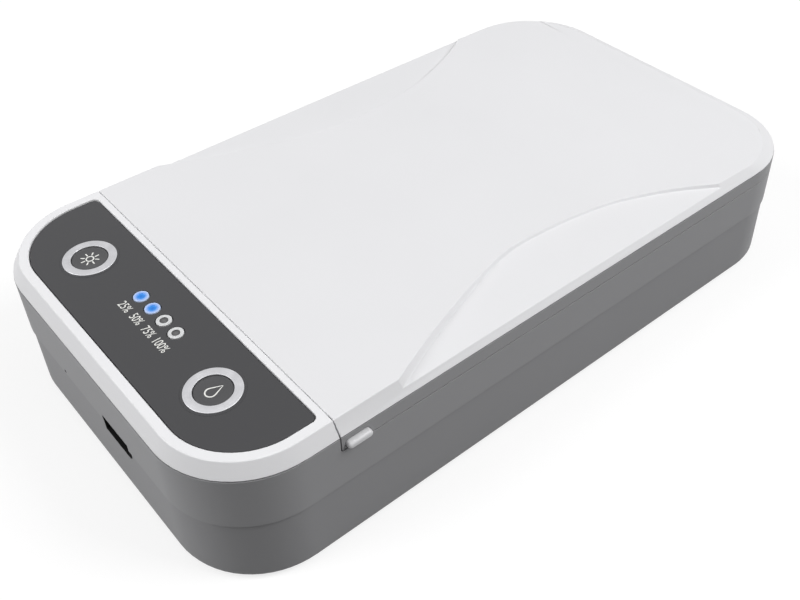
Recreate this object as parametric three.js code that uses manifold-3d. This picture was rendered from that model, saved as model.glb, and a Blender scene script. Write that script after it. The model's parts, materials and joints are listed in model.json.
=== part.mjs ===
// A countertop box that cleans a phone with ultraviolet light.
// A white lid with a grey skirt opens about a pin at the rear end. A fixed control deck
// at the front end carries two round push buttons and a row of four indicator lights.
// Millimetres, +Z up. The origin is on the table under the middle of the box, +X is the
// right side and -Y is the control end.

import * as THREE from 'three';
import { mergeVertices } from 'three/addons/utils/BufferGeometryUtils.js';
import Module from 'manifold-3d';

const wasm = await Module();
wasm.setup();

// Outer form
const LENGTH = 218;
const WIDTH = 121.5;
const CORNER_R = 25;
const FOOT_PROUD = 0.8;
const LOWER_SHELL_H = 20.8;
const UPPER_WALL_H = 16.4;
const COVER_H = 4.15;
const COVER_CHAMFER = 2.4;
const COVER_REAR_CHAMFER = 9;
const COVER_REAR_SIDE_CHAMFER = 3.4;
const COVER_REAR_TOP_R = 23;
const CROWN_DROP = 2.4;
const CROWN_REACH = 134;
const DECK_LENGTH = 34.8;
const LID_SKIRT_H = 4.3;
const WALL = 2.2;
const LOWER_INSET = 0.4;
const BOTTOM_EDGE_R = 1.5;

// Shared clearances
const FIT = 0.3;
const OVERRUN = 1;
const EMBED = 0.5;

// Lid cover
const COVER_T = 1.5;
const COVER_WALL = 3.2;
const FACET_RISE = 1.85;
const FACET_SLOPE_SHARE = 0.071;
const FACET_BEVEL_SHARE = 0.6;
const ARC_X_SHARES = [1.06, 0.961, 0.823, 0.688, 0.658, 0.706, 0.823, 0.961, 1.06];
const ARC_Y_SHARES = [-0.62, -0.507, -0.321, -0.092, 0.055, 0.294, 0.482, 0.625, 0.73];
const CENTRE_HALF_SHARE = 0.61;
const CENTRE_MARGIN = 5;

// Hinge
const HINGE_DROP = 8;
const BARREL_R = 3.4;
const PIN_R = 1.25;
const FLAP_WIDTH = 60;
const LUG_T = 5;
const PARTITION_T = 1.5;

// Finger catches on the lid skirt
const CATCH_L = 7.2;
const CATCH_H = 2;
const CATCH_RISE = 1.45;
const CATCH_PROUD = 1.6;
const CATCH_DEPTH = 1.2;
const CATCH_GAP = 0.2;
const CATCH_SETBACK = 1.05;

// Control deck
const BEZEL_W = 5.4;
const PANEL_STRIP = 2.3;
const PANEL_REAR_R = 1.8;
const PANEL_RECESS = 0.3;
const PANEL_T = 1.2;
const DECK_FLOOR_T = 1.5;
const LIP_T = 1.2;
const LIP_H = 2.8;
const BUTTON_MARGIN = 28.75;
const BUTTON_SETBACK = 15.8;
const RING_R = 7.7;
const RING_HOLE_R = 5.2;
const RING_PROUD = 0.25;
const CAP_FLANGE_W = 1;
const CAP_FLANGE_T = 0.7;
const BUTTON_TRAVEL = 0.6;
const LIGHT_COUNT = 4;
const LIGHT_PITCH = 6;
const LIGHT_SETBACK = 12.7;
const LIGHT_R = 2.05;
const LIGHT_EYE_R = 0.95;
const LIGHT_EYE_DEPTH = 0.15;
const LIGHT_PROUD = 0.05;

// Control board and its parts
const BOARD_T = 1.3;
const CONTROL_BOARD_W = 84;
const CONTROL_BOARD_SETBACK = 5.4;
const CONTROL_BOARD_L = 21.4;
const SWITCH_SIDE = 6;
const SWITCH_H = 2.3;
const PLUNGER_R = 1.6;
const PLUNGER_H = 1.6;
const SWITCH_FLOOR_T = 0.4;
const LED_L = 2;
const LED_W = 1.3;
const LED_H = 0.8;
const BOARD_SCREW_SPACING = 40;
const BOARD_SCREW_SETBACK = 22.8;
const POST_R = 2.4;
const SMALL_SHANK_R = 1;
const SMALL_HEAD_R = 2;
const SMALL_HEAD_H = 1.2;
const SMALL_BITE = 1.6;
const SENSOR_L = 4;
const SENSOR_W = 3;
const SENSOR_H = 1.4;
const SENSOR_X = 38;
const SENSOR_SETBACK = 8.3;

// Driver board, socket and parts
const DRIVER_DROP = 1.9;
const DRIVER_W = 72;
const DRIVER_SETBACK = 5;
const DRIVER_FRONT_GAP = 2.8;
const DRIVER_POST_SPACING = 64;
const DRIVER_POST_MARGIN = 4;
const SLOT_W = 13.4;
const SLOT_H = 5.4;
const SLOT_X = 10.7;
const SLOT_DROP = 0.5;
const SOCKET_W = 7.6;
const SOCKET_H = 2.7;
const SOCKET_L = 6;
const SOCKET_T = 0.4;
const TONGUE_W = 4;
const TONGUE_T = 0.6;
const TONGUE_L = 4;
const PINHOLE_R = 0.5;
const PINHOLE_X = -17.4;
const PINHOLE_RISE = 1.1;
const COIL_X = -12;
const COIL_L = 14;
const COIL_W = 12;
const COIL_H = 9;
const CORE_OVERHANG = 2;
const CORE_H = 4;
const CAPACITOR_X = 26;
const CAPACITOR_R = 4;
const CAPACITOR_H = 11;
const RIBBON_X = -28;
const RIBBON_W = 10;
const RIBBON_T = 0.8;
const RIBBON_SETBACK = 8.8;

// Phone chamber
const SIDE_MARGIN = 13.35;
const FRONT_MARGIN = 4.3;
const REAR_MARGIN = 12.6;
const CHAMBER_DEPTH = 26.2;
const CHAMBER_R = 13;
const TRAY_T = 1.6;
const TRAY_FLANGE_W = 1.8;
const TRAY_FLANGE_T = 1.2;
const PLATE_T = 2.6;
const FIN_COUNT = 5;
const FIN_L = 13;
const FIN_T = 2;
const FIN_H = 9.5;
const FIN_SPAN_SHARE = 0.78;

// Lamps
const LAMP_R = 2.2;
const LAMP_RISE = 3.5;
const LAMP_FRONT_GAP = 17;
const LAMP_REAR_GAP = 8;
const HOLDER_W = 10;
const HOLDER_L = 8;
const HOLDER_TOP_T = 1.2;
const SOCKET_BITE = 4;

// Scent pad
const PAD_W = 32;
const PAD_L = 11;
const PAD_H = 3;
const PAD_GAP = 1.5;
const PAD_COVER_T = 1.2;
const PAD_SLOTS = 5;
const PAD_SLOT_W = 1.6;
const PAD_SLOT_SHARE = 0.62;

// Lid liner
const LINER_T = 1.4;
const TROUGH_HALF = 18;
const TROUGH_TOP_HALF = 12;
const TROUGH_RISE = 0.5;
const TROUGH_T = 1.2;
const TROUGH_MARGIN = 10;
const UPPER_LAMP_GAP = 0.4;
const LID_SCREW_EDGE = 5;
const LID_SCREW_FRONT = 14;
const LID_SCREW_REAR = 34;
const MAGNET_R = 3;
const MAGNET_H = 2;
const MAGNET_EDGE = 6;
const MAGNET_SETBACK = 24;

// Case screws and feet
const BOSS_R = 3.8;
const CASE_SHANK_R = 1.2;
const CASE_HEAD_R = 2.5;
const CASE_HEAD_H = 1.8;
const CASE_HEAD_DEPTH = 4.2;
const CASE_BITE = 8;
const FOOT_R = 6;
const FOOT_SEAT = 0.7;
const FOOT_MARGIN = 20;

// Facet counts
const CORNER_STEPS = 16;
const ARC_STEPS = 56;
const RING_STEPS = 40;
const CROWN_STEPS = 16;
const ROUND_STEPS = 20;
const SMALL_STEPS = 12;

// Levels and places worked out from the sizes above
const HALF_W = WIDTH / 2;
const HALF_L = LENGTH / 2;
const CORNER_X = HALF_W - CORNER_R;
const CORNER_Y = HALF_L - CORNER_R;
const LOWER_TOP = FOOT_PROUD + LOWER_SHELL_H;
const UPPER_BOTTOM = LOWER_TOP + FIT;
const SPLIT_Z = (LOWER_TOP + UPPER_BOTTOM) / 2;
const WALL_TOP = UPPER_BOTTOM + UPPER_WALL_H;
const COVER_BOTTOM = WALL_TOP + FIT;
const TOP_Z = COVER_BOTTOM + COVER_H;
const SKIRT_BOTTOM = WALL_TOP - LID_SKIRT_H;
const RIM_Z = SKIRT_BOTTOM - FIT;
const SEAM_Y = DECK_LENGTH - HALF_L;
const DECK_REAR = SEAM_Y - FIT / 2;
const LID_FRONT = SEAM_Y + FIT / 2;
const LOWER_FLOOR = FOOT_PROUD + WALL;
const HINGE_Z = SKIRT_BOTTOM - HINGE_DROP;
const HINGE_Y = HALF_L - BARREL_R;
const COS_45_SHARE = Math.SQRT1_2;
const CHAMFER_SHARE = COVER_CHAMFER / COVER_H;
const HINGE_BAY_X = FLAP_WIDTH / 2 + FIT;

const BOSS_REACH = (CORNER_R - WALL - BOSS_R + EMBED) * COS_45_SHARE;
const BOSS_X = CORNER_X + BOSS_REACH;
const BOSS_Y = CORNER_Y + BOSS_REACH;

const CHAMBER_X = HALF_W - SIDE_MARGIN;
const CHAMBER_FRONT = SEAM_Y + FRONT_MARGIN;
const CHAMBER_REAR = HALF_L - REAR_MARGIN;
const CHAMBER_FLOOR = RIM_Z - CHAMBER_DEPTH;
const PLATE_BOTTOM = RIM_Z - PLATE_T;

const PANEL_TOP = TOP_Z - PANEL_RECESS;
const PANEL_BOTTOM = PANEL_TOP - PANEL_T;
const DECK_FLOOR_TOP = PANEL_BOTTOM - FIT;
const DECK_FLOOR_BOTTOM = DECK_FLOOR_TOP - DECK_FLOOR_T;
const BUTTON_Y = SEAM_Y - BUTTON_SETBACK;
const CAP_R = RING_HOLE_R - FIT;
const CAP_FLANGE_R = CAP_R + CAP_FLANGE_W;
const CAP_FLANGE_TOP = DECK_FLOOR_TOP;
const CAP_BOTTOM = CAP_FLANGE_TOP - CAP_FLANGE_T;
const FLOOR_HOLE_R = CAP_FLANGE_R + FIT;
const LIGHT_Y = SEAM_Y - LIGHT_SETBACK;
const PLUNGER_TOP = CAP_BOTTOM - FIT;
const SWITCH_TOP = PLUNGER_TOP - BUTTON_TRAVEL - FIT / 2;
const SWITCH_BOTTOM = SWITCH_TOP - SWITCH_H;
const BOARD_TOP = SWITCH_BOTTOM - FIT;
const BOARD_BOTTOM = BOARD_TOP - BOARD_T;
const BOARD_SCREW_Y = SEAM_Y - BOARD_SCREW_SETBACK;

const DRIVER_TOP = SPLIT_Z - DRIVER_DROP;
const DRIVER_BOTTOM = DRIVER_TOP - BOARD_T;
const DRIVER_REAR = SEAM_Y - DRIVER_SETBACK;
const DRIVER_FRONT = WALL + LOWER_INSET + DRIVER_FRONT_GAP - HALF_L;
const DRIVER_MID = (DRIVER_REAR + DRIVER_FRONT) / 2;
const DRIVER_PARTS_Z = DRIVER_TOP + FIT;

const LINER_TOP = WALL_TOP;
const LINER_BOTTOM = LINER_TOP - LINER_T;
const LINER_INSET = WALL + FIT;
const TROUGH_TOP = LINER_TOP + TROUGH_RISE;
const TROUGH_CEILING = TROUGH_TOP - TROUGH_T;
const TROUGH_FRONT = LID_FRONT + TROUGH_MARGIN;
const TROUGH_REAR = HALF_L - TROUGH_MARGIN;
const FACET_X = HALF_W - FACET_RISE * CHAMFER_SHARE;
const FACET_Z = COVER_BOTTOM + FACET_RISE;
const CROWN_START = HALF_L - CROWN_REACH;
const CENTRE_HALF = HALF_W * CENTRE_HALF_SHARE;

const LOWER_LAMP_Z = CHAMBER_FLOOR + LAMP_RISE;
const UPPER_LAMP_Z = TROUGH_CEILING - UPPER_LAMP_GAP - LAMP_R;
const LAMP_FRONT = CHAMBER_FRONT + LAMP_FRONT_GAP;
const LAMP_REAR = CHAMBER_REAR - LAMP_REAR_GAP;

// Colours and finishes
function finish(color, roughness, metalness = 0) {
  return new THREE.MeshStandardMaterial({ color, roughness, metalness });
}

const MATERIALS = {
  white: finish(0xe8e7ea, 0.42),
  grey: finish(0x848486, 0.5),
  panel: finish(0x505052, 0.45),
  silver: finish(0xc4c4c6, 0.35, 0.8),
  cap: finish(0x4c4c4e, 0.4),
  lens: finish(0xd8dadd, 0.25),
  blue: finish(0x3f8ee8, 0.3),
  board: finish(0x1d6b3a, 0.5),
  black: finish(0x1c1c1e, 0.5),
  steel: finish(0xb8babd, 0.3, 1),
  reflector: finish(0xcfd2d6, 0.22, 0.7),
  glass: finish(0xdfeaf2, 0.08),
  ceramic: finish(0xf0efe8, 0.5),
  felt: finish(0xe6dfcf, 0.95),
  rubber: finish(0x2a2a2c, 0.85),
  copper: finish(0xb8743a, 0.4, 0.6),
  ribbon: finish(0x9fa6b0, 0.6),
};

// Solids from closed geometries, and back
function signedVolume(positions, index) {
  const a = new THREE.Vector3();
  const b = new THREE.Vector3();
  const c = new THREE.Vector3();
  let total = 0;
  for (let i = 0; i < index.length; i += 3) {
    a.fromArray(positions, index[i] * 3);
    b.fromArray(positions, index[i + 1] * 3);
    c.fromArray(positions, index[i + 2] * 3);
    total += a.dot(b.cross(c));
  }
  return total;
}

function solid(geometry) {
  const bare = geometry.clone();
  bare.deleteAttribute('normal');
  bare.deleteAttribute('uv');
  const merged = mergeVertices(bare);
  const positions = merged.attributes.position.array;
  const index = [];
  for (let i = 0; i < merged.index.count; i += 3) {
    const a = merged.index.getX(i);
    const b = merged.index.getX(i + 1);
    const c = merged.index.getX(i + 2);
    if (a !== b && b !== c && c !== a) index.push(a, b, c);
  }
  if (signedVolume(positions, index) < 0) index.reverse();
  return new wasm.Manifold(new wasm.Mesh({
    numProp: 3,
    vertProperties: Float32Array.from(positions),
    triVerts: Uint32Array.from(index),
  }));
}

function joined(first, ...others) {
  return others.reduce((sum, other) => sum.add(other), first);
}

function cut(first, ...others) {
  return others.reduce((rest, other) => rest.subtract(other), first);
}

function geometryOf(shape) {
  const mesh = shape.getMesh();
  const geometry = new THREE.BufferGeometry();
  const positions = new Float32Array(mesh.numVert * 3);
  for (let i = 0; i < mesh.numVert; i += 1) {
    const start = i * mesh.numProp;
    positions.set(mesh.vertProperties.subarray(start, start + 3), i * 3);
  }
  geometry.setAttribute('position', new THREE.BufferAttribute(positions, 3));
  geometry.setIndex(new THREE.BufferAttribute(Uint32Array.from(mesh.triVerts), 1));
  geometry.computeVertexNormals();
  return geometry;
}

// Plain solids: blocks, rods, turned pieces, prisms and stacks of outlines
function block(x0, x1, y0, y1, z0, z1) {
  const geometry = new THREE.BoxGeometry(x1 - x0, y1 - y0, z1 - z0);
  geometry.translate((x0 + x1) / 2, (y0 + y1) / 2, (z0 + z1) / 2);
  return solid(geometry);
}

function rod(from, to, radius, steps) {
  const start = new THREE.Vector3(...from);
  const end = new THREE.Vector3(...to);
  const along = end.clone().sub(start);
  const geometry = new THREE.CylinderGeometry(radius, radius, along.length(), steps);
  const up = new THREE.Vector3(0, 1, 0);
  const turn = new THREE.Quaternion().setFromUnitVectors(up, along.clone().normalize());
  geometry.applyQuaternion(turn);
  const middle = start.add(end).multiplyScalar(0.5);
  geometry.translate(middle.x, middle.y, middle.z);
  return solid(geometry);
}

function post(x, y, z0, z1, radius, steps = SMALL_STEPS) {
  return rod([x, y, z0], [x, y, z1], radius, steps);
}

function turned(profile, x, y, steps) {
  const points = profile.map(([r, z]) => new THREE.Vector2(r, z));
  const geometry = new THREE.LatheGeometry(points, steps);
  geometry.rotateX(Math.PI / 2);
  geometry.translate(x, y, 0);
  return solid(geometry);
}

function stack(rings) {
  const count = rings[0].length;
  const positions = rings.flat(2);
  const index = [];
  for (let level = 0; level < rings.length - 1; level += 1) {
    for (let i = 0; i < count; i += 1) {
      const next = (i + 1) % count;
      const a = level * count + i;
      const b = level * count + next;
      const c = a + count;
      const d = b + count;
      index.push(a, b, d, a, d, c);
    }
  }
  const last = (rings.length - 1) * count;
  const outline = rings[0].map(([x, y]) => new THREE.Vector2(x, y));
  for (const [a, b, c] of THREE.ShapeUtils.triangulateShape(outline, [])) {
    index.push(a, c, b, last + a, last + b, last + c);
  }
  const geometry = new THREE.BufferGeometry();
  geometry.setAttribute('position', new THREE.Float32BufferAttribute(positions, 3));
  geometry.setIndex(index);
  return solid(geometry);
}

function prism(outline, z0, z1) {
  const ring = (z) => outline.map(([x, y]) => [x, y, z]);
  return stack([ring(z0), ring(z1)]);
}

function prismAlongY(profile, y0, y1) {
  const shape = new THREE.Shape(profile.map(([x, z]) => new THREE.Vector2(x, z)));
  const geometry = new THREE.ExtrudeGeometry(shape, { depth: y1 - y0, bevelEnabled: false });
  geometry.rotateX(Math.PI / 2);
  geometry.translate(0, y1, 0);
  return solid(geometry);
}

function prismAlongX(profile, x0, x1) {
  const shape = new THREE.Shape(profile.map(([y, z]) => new THREE.Vector2(y, z)));
  const geometry = new THREE.ExtrudeGeometry(shape, { depth: x1 - x0, bevelEnabled: false });
  const turn = new THREE.Matrix4().set(0, 0, 1, x0, 1, 0, 0, 0, 0, 1, 0, 0, 0, 0, 0, 1);
  return solid(geometry.applyMatrix4(turn));
}

// Outlines seen from above
function arc(cx, cy, radius, from, to, steps = CORNER_STEPS) {
  const points = [];
  for (let i = 0; i <= steps; i += 1) {
    const angle = THREE.MathUtils.degToRad(from + ((to - from) * i) / steps);
    points.push([cx + radius * Math.cos(angle), cy + radius * Math.sin(angle)]);
  }
  return points;
}

function roundedBox(x0, x1, y0, y1, radius) {
  return [
    ...arc(x1 - radius, y1 - radius, radius, 0, 90),
    ...arc(x0 + radius, y1 - radius, radius, 90, 180),
    ...arc(x0 + radius, y0 + radius, radius, 180, 270),
    ...arc(x1 - radius, y0 + radius, radius, 270, 360),
  ];
}

function bodyOutline(inset) {
  const x = HALF_W - inset;
  const y = HALF_L - inset;
  return roundedBox(-x, x, -y, y, CORNER_R - inset);
}

function bodyRing(inset, z) {
  return bodyOutline(inset).map(([x, y]) => [x, y, z]);
}

function panelOutline(inset) {
  const x = HALF_W - inset;
  const front = CORNER_R - inset;
  const rear = SEAM_Y - PANEL_STRIP - (inset - BEZEL_W);
  const corner = PANEL_REAR_R;
  return [
    ...arc(x - corner, rear - corner, corner, 0, 90, SMALL_STEPS / 2),
    ...arc(corner - x, rear - corner, corner, 90, 180, SMALL_STEPS / 2),
    ...arc(-CORNER_X, -CORNER_Y, front, 180, 270),
    ...arc(CORNER_X, -CORNER_Y, front, 270, 360),
  ];
}

// Parts of the box on one side of the seam
function beyond(y0, y1, z0, z1) {
  return block(-WIDTH, WIDTH, y0, y1, z0, z1);
}

function lidSide(shape, front = LID_FRONT) {
  return shape.intersect(beyond(front, LENGTH, -LENGTH, LENGTH));
}

function deckSide(shape, rear = DECK_REAR) {
  return shape.intersect(beyond(-LENGTH, rear, -LENGTH, LENGTH));
}

// Places that repeat
const SIDES = [['left', -1], ['right', 1]];
const ENDS = [['front', -1], ['rear', 1]];
const CORNERS = SIDES.flatMap(([side, sx]) => ENDS.map(([end, sy]) => [`${end}_${side}`, sx, sy]));

function caseHeadTop() {
  return FOOT_PROUD + CASE_HEAD_DEPTH - FIT;
}

// Lower shell
function lowerShell() {
  const turn = BOTTOM_EDGE_R * (1 - COS_45_SHARE);
  const outer = stack([
    bodyRing(LOWER_INSET + BOTTOM_EDGE_R, FOOT_PROUD),
    bodyRing(LOWER_INSET + turn, FOOT_PROUD + turn),
    bodyRing(LOWER_INSET, FOOT_PROUD + BOTTOM_EDGE_R),
    bodyRing(LOWER_INSET, LOWER_TOP),
  ]);
  const inside = LOWER_INSET + WALL;
  let shell = cut(outer, prism(bodyOutline(inside), LOWER_FLOOR, LOWER_TOP + OVERRUN));
  for (const [, sx, sy] of CORNERS) {
    const [x, y] = [sx * BOSS_X, sy * BOSS_Y];
    shell = joined(shell, post(x, y, LOWER_FLOOR - EMBED, LOWER_TOP, BOSS_R, ROUND_STEPS));
    shell = cut(
      shell,
      post(x, y, FOOT_PROUD - OVERRUN, FOOT_PROUD + CASE_HEAD_DEPTH, CASE_HEAD_R + FIT, ROUND_STEPS),
      post(x, y, FOOT_PROUD, LOWER_TOP + OVERRUN, CASE_SHANK_R + FIT),
    );
    const [footX, footY] = [sx * footPlace().x, sy * footPlace().y];
    const seatTop = FOOT_PROUD + FOOT_SEAT + FIT;
    shell = cut(shell, post(footX, footY, FOOT_PROUD - OVERRUN, seatTop, FOOT_R + FIT, ROUND_STEPS));
  }
  for (const [, sx] of SIDES) {
    for (const y of [DRIVER_FRONT + DRIVER_POST_MARGIN, DRIVER_REAR - DRIVER_POST_MARGIN]) {
      const x = (sx * DRIVER_POST_SPACING) / 2;
      shell = joined(shell, post(x, y, LOWER_FLOOR - EMBED, DRIVER_BOTTOM - FIT, POST_R));
    }
  }
  return cut(shell, socketSlot());
}

function footPlace() {
  return { x: HALF_W - FOOT_MARGIN, y: HALF_L - FOOT_MARGIN };
}

function socketSlot() {
  const depth = WALL + LOWER_INSET + OVERRUN;
  return block(
    SLOT_X - SLOT_W / 2, SLOT_X + SLOT_W / 2,
    -HALF_L - OVERRUN, depth - HALF_L,
    SPLIT_Z - SLOT_DROP - SLOT_H / 2, SPLIT_Z - SLOT_DROP + SLOT_H / 2,
  );
}

// Upper shell with the deck walls, the chamber surround and the hinge seat
function hingeNotch() {
  const y0 = HINGE_Y - BARREL_R - FIT;
  return block(-HINGE_BAY_X, HINGE_BAY_X, y0, HALF_L + OVERRUN, UPPER_BOTTOM - OVERRUN, WALL_TOP + OVERRUN);
}

function hingeSeat() {
  const y0 = HINGE_Y - BARREL_R - FIT;
  const lugTop = HINGE_Z + BARREL_R;
  const reach = HINGE_BAY_X + LUG_T;
  const partition = block(-reach, reach, y0 - PARTITION_T, y0, UPPER_BOTTOM, PLATE_BOTTOM + EMBED);
  const lugs = SIDES.map(([, s]) => {
    const [a, b] = [s * HINGE_BAY_X, s * reach].sort((p, q) => p - q);
    return block(a, b, y0 - EMBED, HALF_L - WALL + EMBED, UPPER_BOTTOM, lugTop);
  });
  return joined(partition, ...lugs);
}

function rimRelief() {
  const swing = RIM_Z - HINGE_Z;
  const reach = HALF_W - CORNER_R / 2;
  const slab = block(-reach, reach, HINGE_Y, HALF_L + OVERRUN, HINGE_Z + BARREL_R, RIM_Z + OVERRUN);
  return cut(slab, rod([-HALF_W, HINGE_Y, HINGE_Z], [HALF_W, HINGE_Y, HINGE_Z], swing, CORNER_STEPS * 8));
}

function upperShell() {
  const outer = prism(bodyOutline(0), UPPER_BOTTOM, WALL_TOP);
  const inner = prism(bodyOutline(WALL), UPPER_BOTTOM - OVERRUN, WALL_TOP + OVERRUN);
  const deckBay = deckSide(inner, DECK_REAR - WALL);
  const lidBay = lidSide(prism(bodyOutline(WALL), UPPER_BOTTOM - OVERRUN, PLATE_BOTTOM), DECK_REAR);
  const aboveRim = beyond(DECK_REAR, LENGTH, RIM_Z, TOP_Z);
  const gap = TRAY_T + FIT;
  const mouth = prism(
    roundedBox(-CHAMBER_X - gap, CHAMBER_X + gap, CHAMBER_FRONT - gap, CHAMBER_REAR + gap, CHAMBER_R + gap),
    PLATE_BOTTOM - OVERRUN, RIM_Z + OVERRUN,
  );
  const rebate = prism(
    trayRim(TRAY_T + TRAY_FLANGE_W + FIT),
    RIM_Z - TRAY_FLANGE_T - FIT, RIM_Z + OVERRUN,
  );
  let shell = cut(outer, deckBay, lidBay, aboveRim, mouth, rebate, hingeNotch());
  shell = joined(shell, hingeSeat());
  const bossTop = PLATE_BOTTOM + EMBED;
  for (const [, sx, sy] of CORNERS) {
    const [x, y] = [sx * BOSS_X, sy * BOSS_Y];
    shell = joined(shell, post(x, y, UPPER_BOTTOM, bossTop, BOSS_R, ROUND_STEPS));
    const bite = UPPER_BOTTOM + CASE_BITE + FIT;
    shell = cut(shell, post(x, y, UPPER_BOTTOM - OVERRUN, bite, CASE_SHANK_R + FIT));
  }
  const pinReach = HINGE_BAY_X + LUG_T + OVERRUN;
  const pinBore = rod([-pinReach, HINGE_Y, HINGE_Z], [pinReach, HINGE_Y, HINGE_Z], PIN_R + FIT, SMALL_STEPS);
  const pinhole = rod(
    [PINHOLE_X, -HALF_L - OVERRUN, SPLIT_Z + PINHOLE_RISE],
    [PINHOLE_X, WALL + OVERRUN - HALF_L, SPLIT_Z + PINHOLE_RISE],
    PINHOLE_R, SMALL_STEPS,
  );
  return cut(shell, pinBore, pinhole, rimRelief(), socketSlot());
}

// White covers: one chamfered blank, whose top falls away towards the rear end
function coverTopRing() {
  const rearX = HALF_W - COVER_REAR_SIDE_CHAMFER - COVER_REAR_TOP_R;
  const rearY = HALF_L - COVER_REAR_CHAMFER - COVER_REAR_TOP_R;
  const front = CORNER_R - COVER_CHAMFER;
  return [
    ...arc(rearX, rearY, COVER_REAR_TOP_R, 0, 90),
    ...arc(-rearX, rearY, COVER_REAR_TOP_R, 90, 180),
    ...arc(-CORNER_X, -CORNER_Y, front, 180, 270),
    ...arc(CORNER_X, -CORNER_Y, front, 270, 360),
  ].map(([x, y]) => [x, y, TOP_Z]);
}

function crownAt(y) {
  const share = Math.max(0, (y - CROWN_START) / CROWN_REACH);
  return TOP_Z - CROWN_DROP * share * share;
}

function crownProfile(from, to, drop) {
  const points = [[from, crownAt(from) - drop]];
  for (let i = 0; i <= CROWN_STEPS; i += 1) {
    const y = CROWN_START + (CROWN_REACH * i) / CROWN_STEPS;
    if (y > from && y < to) points.push([y, crownAt(y) - drop]);
  }
  points.push([to, crownAt(to) - drop]);
  return points;
}

function coverBlank() {
  const blank = stack([bodyRing(0, COVER_BOTTOM), coverTopRing()]);
  const [rear, high] = [HALF_L + OVERRUN, TOP_Z + OVERRUN];
  const above = [[rear, high], [CROWN_START, high], ...crownProfile(CROWN_START, rear, 0)];
  return cut(blank, prismAlongX(above, -WIDTH, WIDTH));
}

function buttonPlaces() {
  return SIDES.map(([side, s]) => [side, s * (HALF_W - BUTTON_MARGIN)]);
}

function lightPlaces() {
  const places = [];
  for (let i = 0; i < LIGHT_COUNT; i += 1) {
    places.push((i - (LIGHT_COUNT - 1) / 2) * LIGHT_PITCH);
  }
  return places;
}

// Front bezel with the recess for the panel
function frontBezel() {
  const lipOuter = deckSide(
    prism(bodyOutline(WALL + FIT), COVER_BOTTOM - LIP_H, COVER_BOTTOM + EMBED),
    DECK_REAR - WALL - FIT,
  );
  const lipInset = WALL + FIT + LIP_T;
  const lipInner = deckSide(
    prism(bodyOutline(lipInset), COVER_BOTTOM - LIP_H - OVERRUN, DECK_FLOOR_BOTTOM),
    DECK_REAR - lipInset,
  );
  let bezel = joined(deckSide(coverBlank()), lipOuter);
  bezel = cut(bezel, lipInner, prism(panelOutline(BEZEL_W - FIT), DECK_FLOOR_TOP, TOP_Z + OVERRUN));
  for (const [, s] of SIDES) {
    const x = (s * BOARD_SCREW_SPACING) / 2;
    bezel = joined(bezel, post(x, BOARD_SCREW_Y, BOARD_TOP + FIT, DECK_FLOOR_BOTTOM + EMBED, POST_R));
    const bite = BOARD_TOP + FIT + SMALL_BITE + FIT;
    bezel = cut(bezel, post(x, BOARD_SCREW_Y, BOARD_TOP, bite, SMALL_SHANK_R + FIT));
  }
  for (const [, x] of buttonPlaces()) {
    bezel = cut(bezel, post(x, BUTTON_Y, DECK_FLOOR_BOTTOM - OVERRUN, TOP_Z, FLOOR_HOLE_R, RING_STEPS));
  }
  for (const x of lightPlaces()) {
    bezel = cut(bezel, post(x, LIGHT_Y, DECK_FLOOR_BOTTOM - OVERRUN, TOP_Z, LIGHT_EYE_R + FIT));
  }
  return bezel;
}

function controlPanel() {
  let panel = prism(panelOutline(BEZEL_W), PANEL_BOTTOM, PANEL_TOP);
  for (const [, x] of buttonPlaces()) {
    panel = cut(panel, post(x, BUTTON_Y, PANEL_BOTTOM - OVERRUN, TOP_Z, RING_R + FIT, RING_STEPS));
  }
  for (const x of lightPlaces()) {
    panel = cut(panel, post(x, LIGHT_Y, PANEL_BOTTOM - OVERRUN, TOP_Z, LIGHT_R + FIT, ROUND_STEPS));
  }
  return panel;
}

function buttonRing(x) {
  const top = PANEL_TOP + RING_PROUD;
  return turned([
    [RING_HOLE_R, PANEL_BOTTOM],
    [RING_R, PANEL_BOTTOM],
    [RING_R, top - FIT / 2],
    [RING_R - FIT / 2, top],
    [RING_HOLE_R + FIT / 2, top],
    [RING_HOLE_R, top - FIT / 2],
    [RING_HOLE_R, PANEL_BOTTOM],
  ], x, BUTTON_Y, RING_STEPS);
}

function buttonCap(x) {
  return turned([
    [0, CAP_BOTTOM],
    [CAP_FLANGE_R, CAP_BOTTOM],
    [CAP_FLANGE_R, CAP_FLANGE_TOP],
    [CAP_R, CAP_FLANGE_TOP],
    [CAP_R, PANEL_TOP - FIT],
    [CAP_R - FIT, PANEL_TOP],
    [0, PANEL_TOP],
  ], x, BUTTON_Y, RING_STEPS);
}

function indicatorLens(x) {
  const top = PANEL_TOP + LIGHT_PROUD;
  return turned([
    [0, PANEL_BOTTOM],
    [LIGHT_R, PANEL_BOTTOM],
    [LIGHT_R, top],
    [LIGHT_EYE_R, top],
    [LIGHT_EYE_R, top - LIGHT_EYE_DEPTH],
    [0, top - LIGHT_EYE_DEPTH],
  ], x, LIGHT_Y, ROUND_STEPS);
}

// Boards, switches and lights under the deck
function controlBoard() {
  const rear = SEAM_Y - CONTROL_BOARD_SETBACK;
  const half = CONTROL_BOARD_W / 2;
  let board = block(-half, half, rear - CONTROL_BOARD_L, rear, BOARD_BOTTOM, BOARD_TOP);
  for (const [, s] of SIDES) {
    const x = (s * BOARD_SCREW_SPACING) / 2;
    const [z0, z1] = [BOARD_BOTTOM - OVERRUN, BOARD_TOP + OVERRUN];
    board = cut(board, post(x, BOARD_SCREW_Y, z0, z1, SMALL_SHANK_R + FIT));
  }
  return board;
}

function switchBody(x) {
  const half = SWITCH_SIDE / 2;
  const body = block(x - half, x + half, BUTTON_Y - half, BUTTON_Y + half, SWITCH_BOTTOM, SWITCH_TOP);
  return cut(body, post(x, BUTTON_Y, SWITCH_BOTTOM + SWITCH_FLOOR_T, SWITCH_TOP + OVERRUN, PLUNGER_R + FIT));
}

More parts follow.
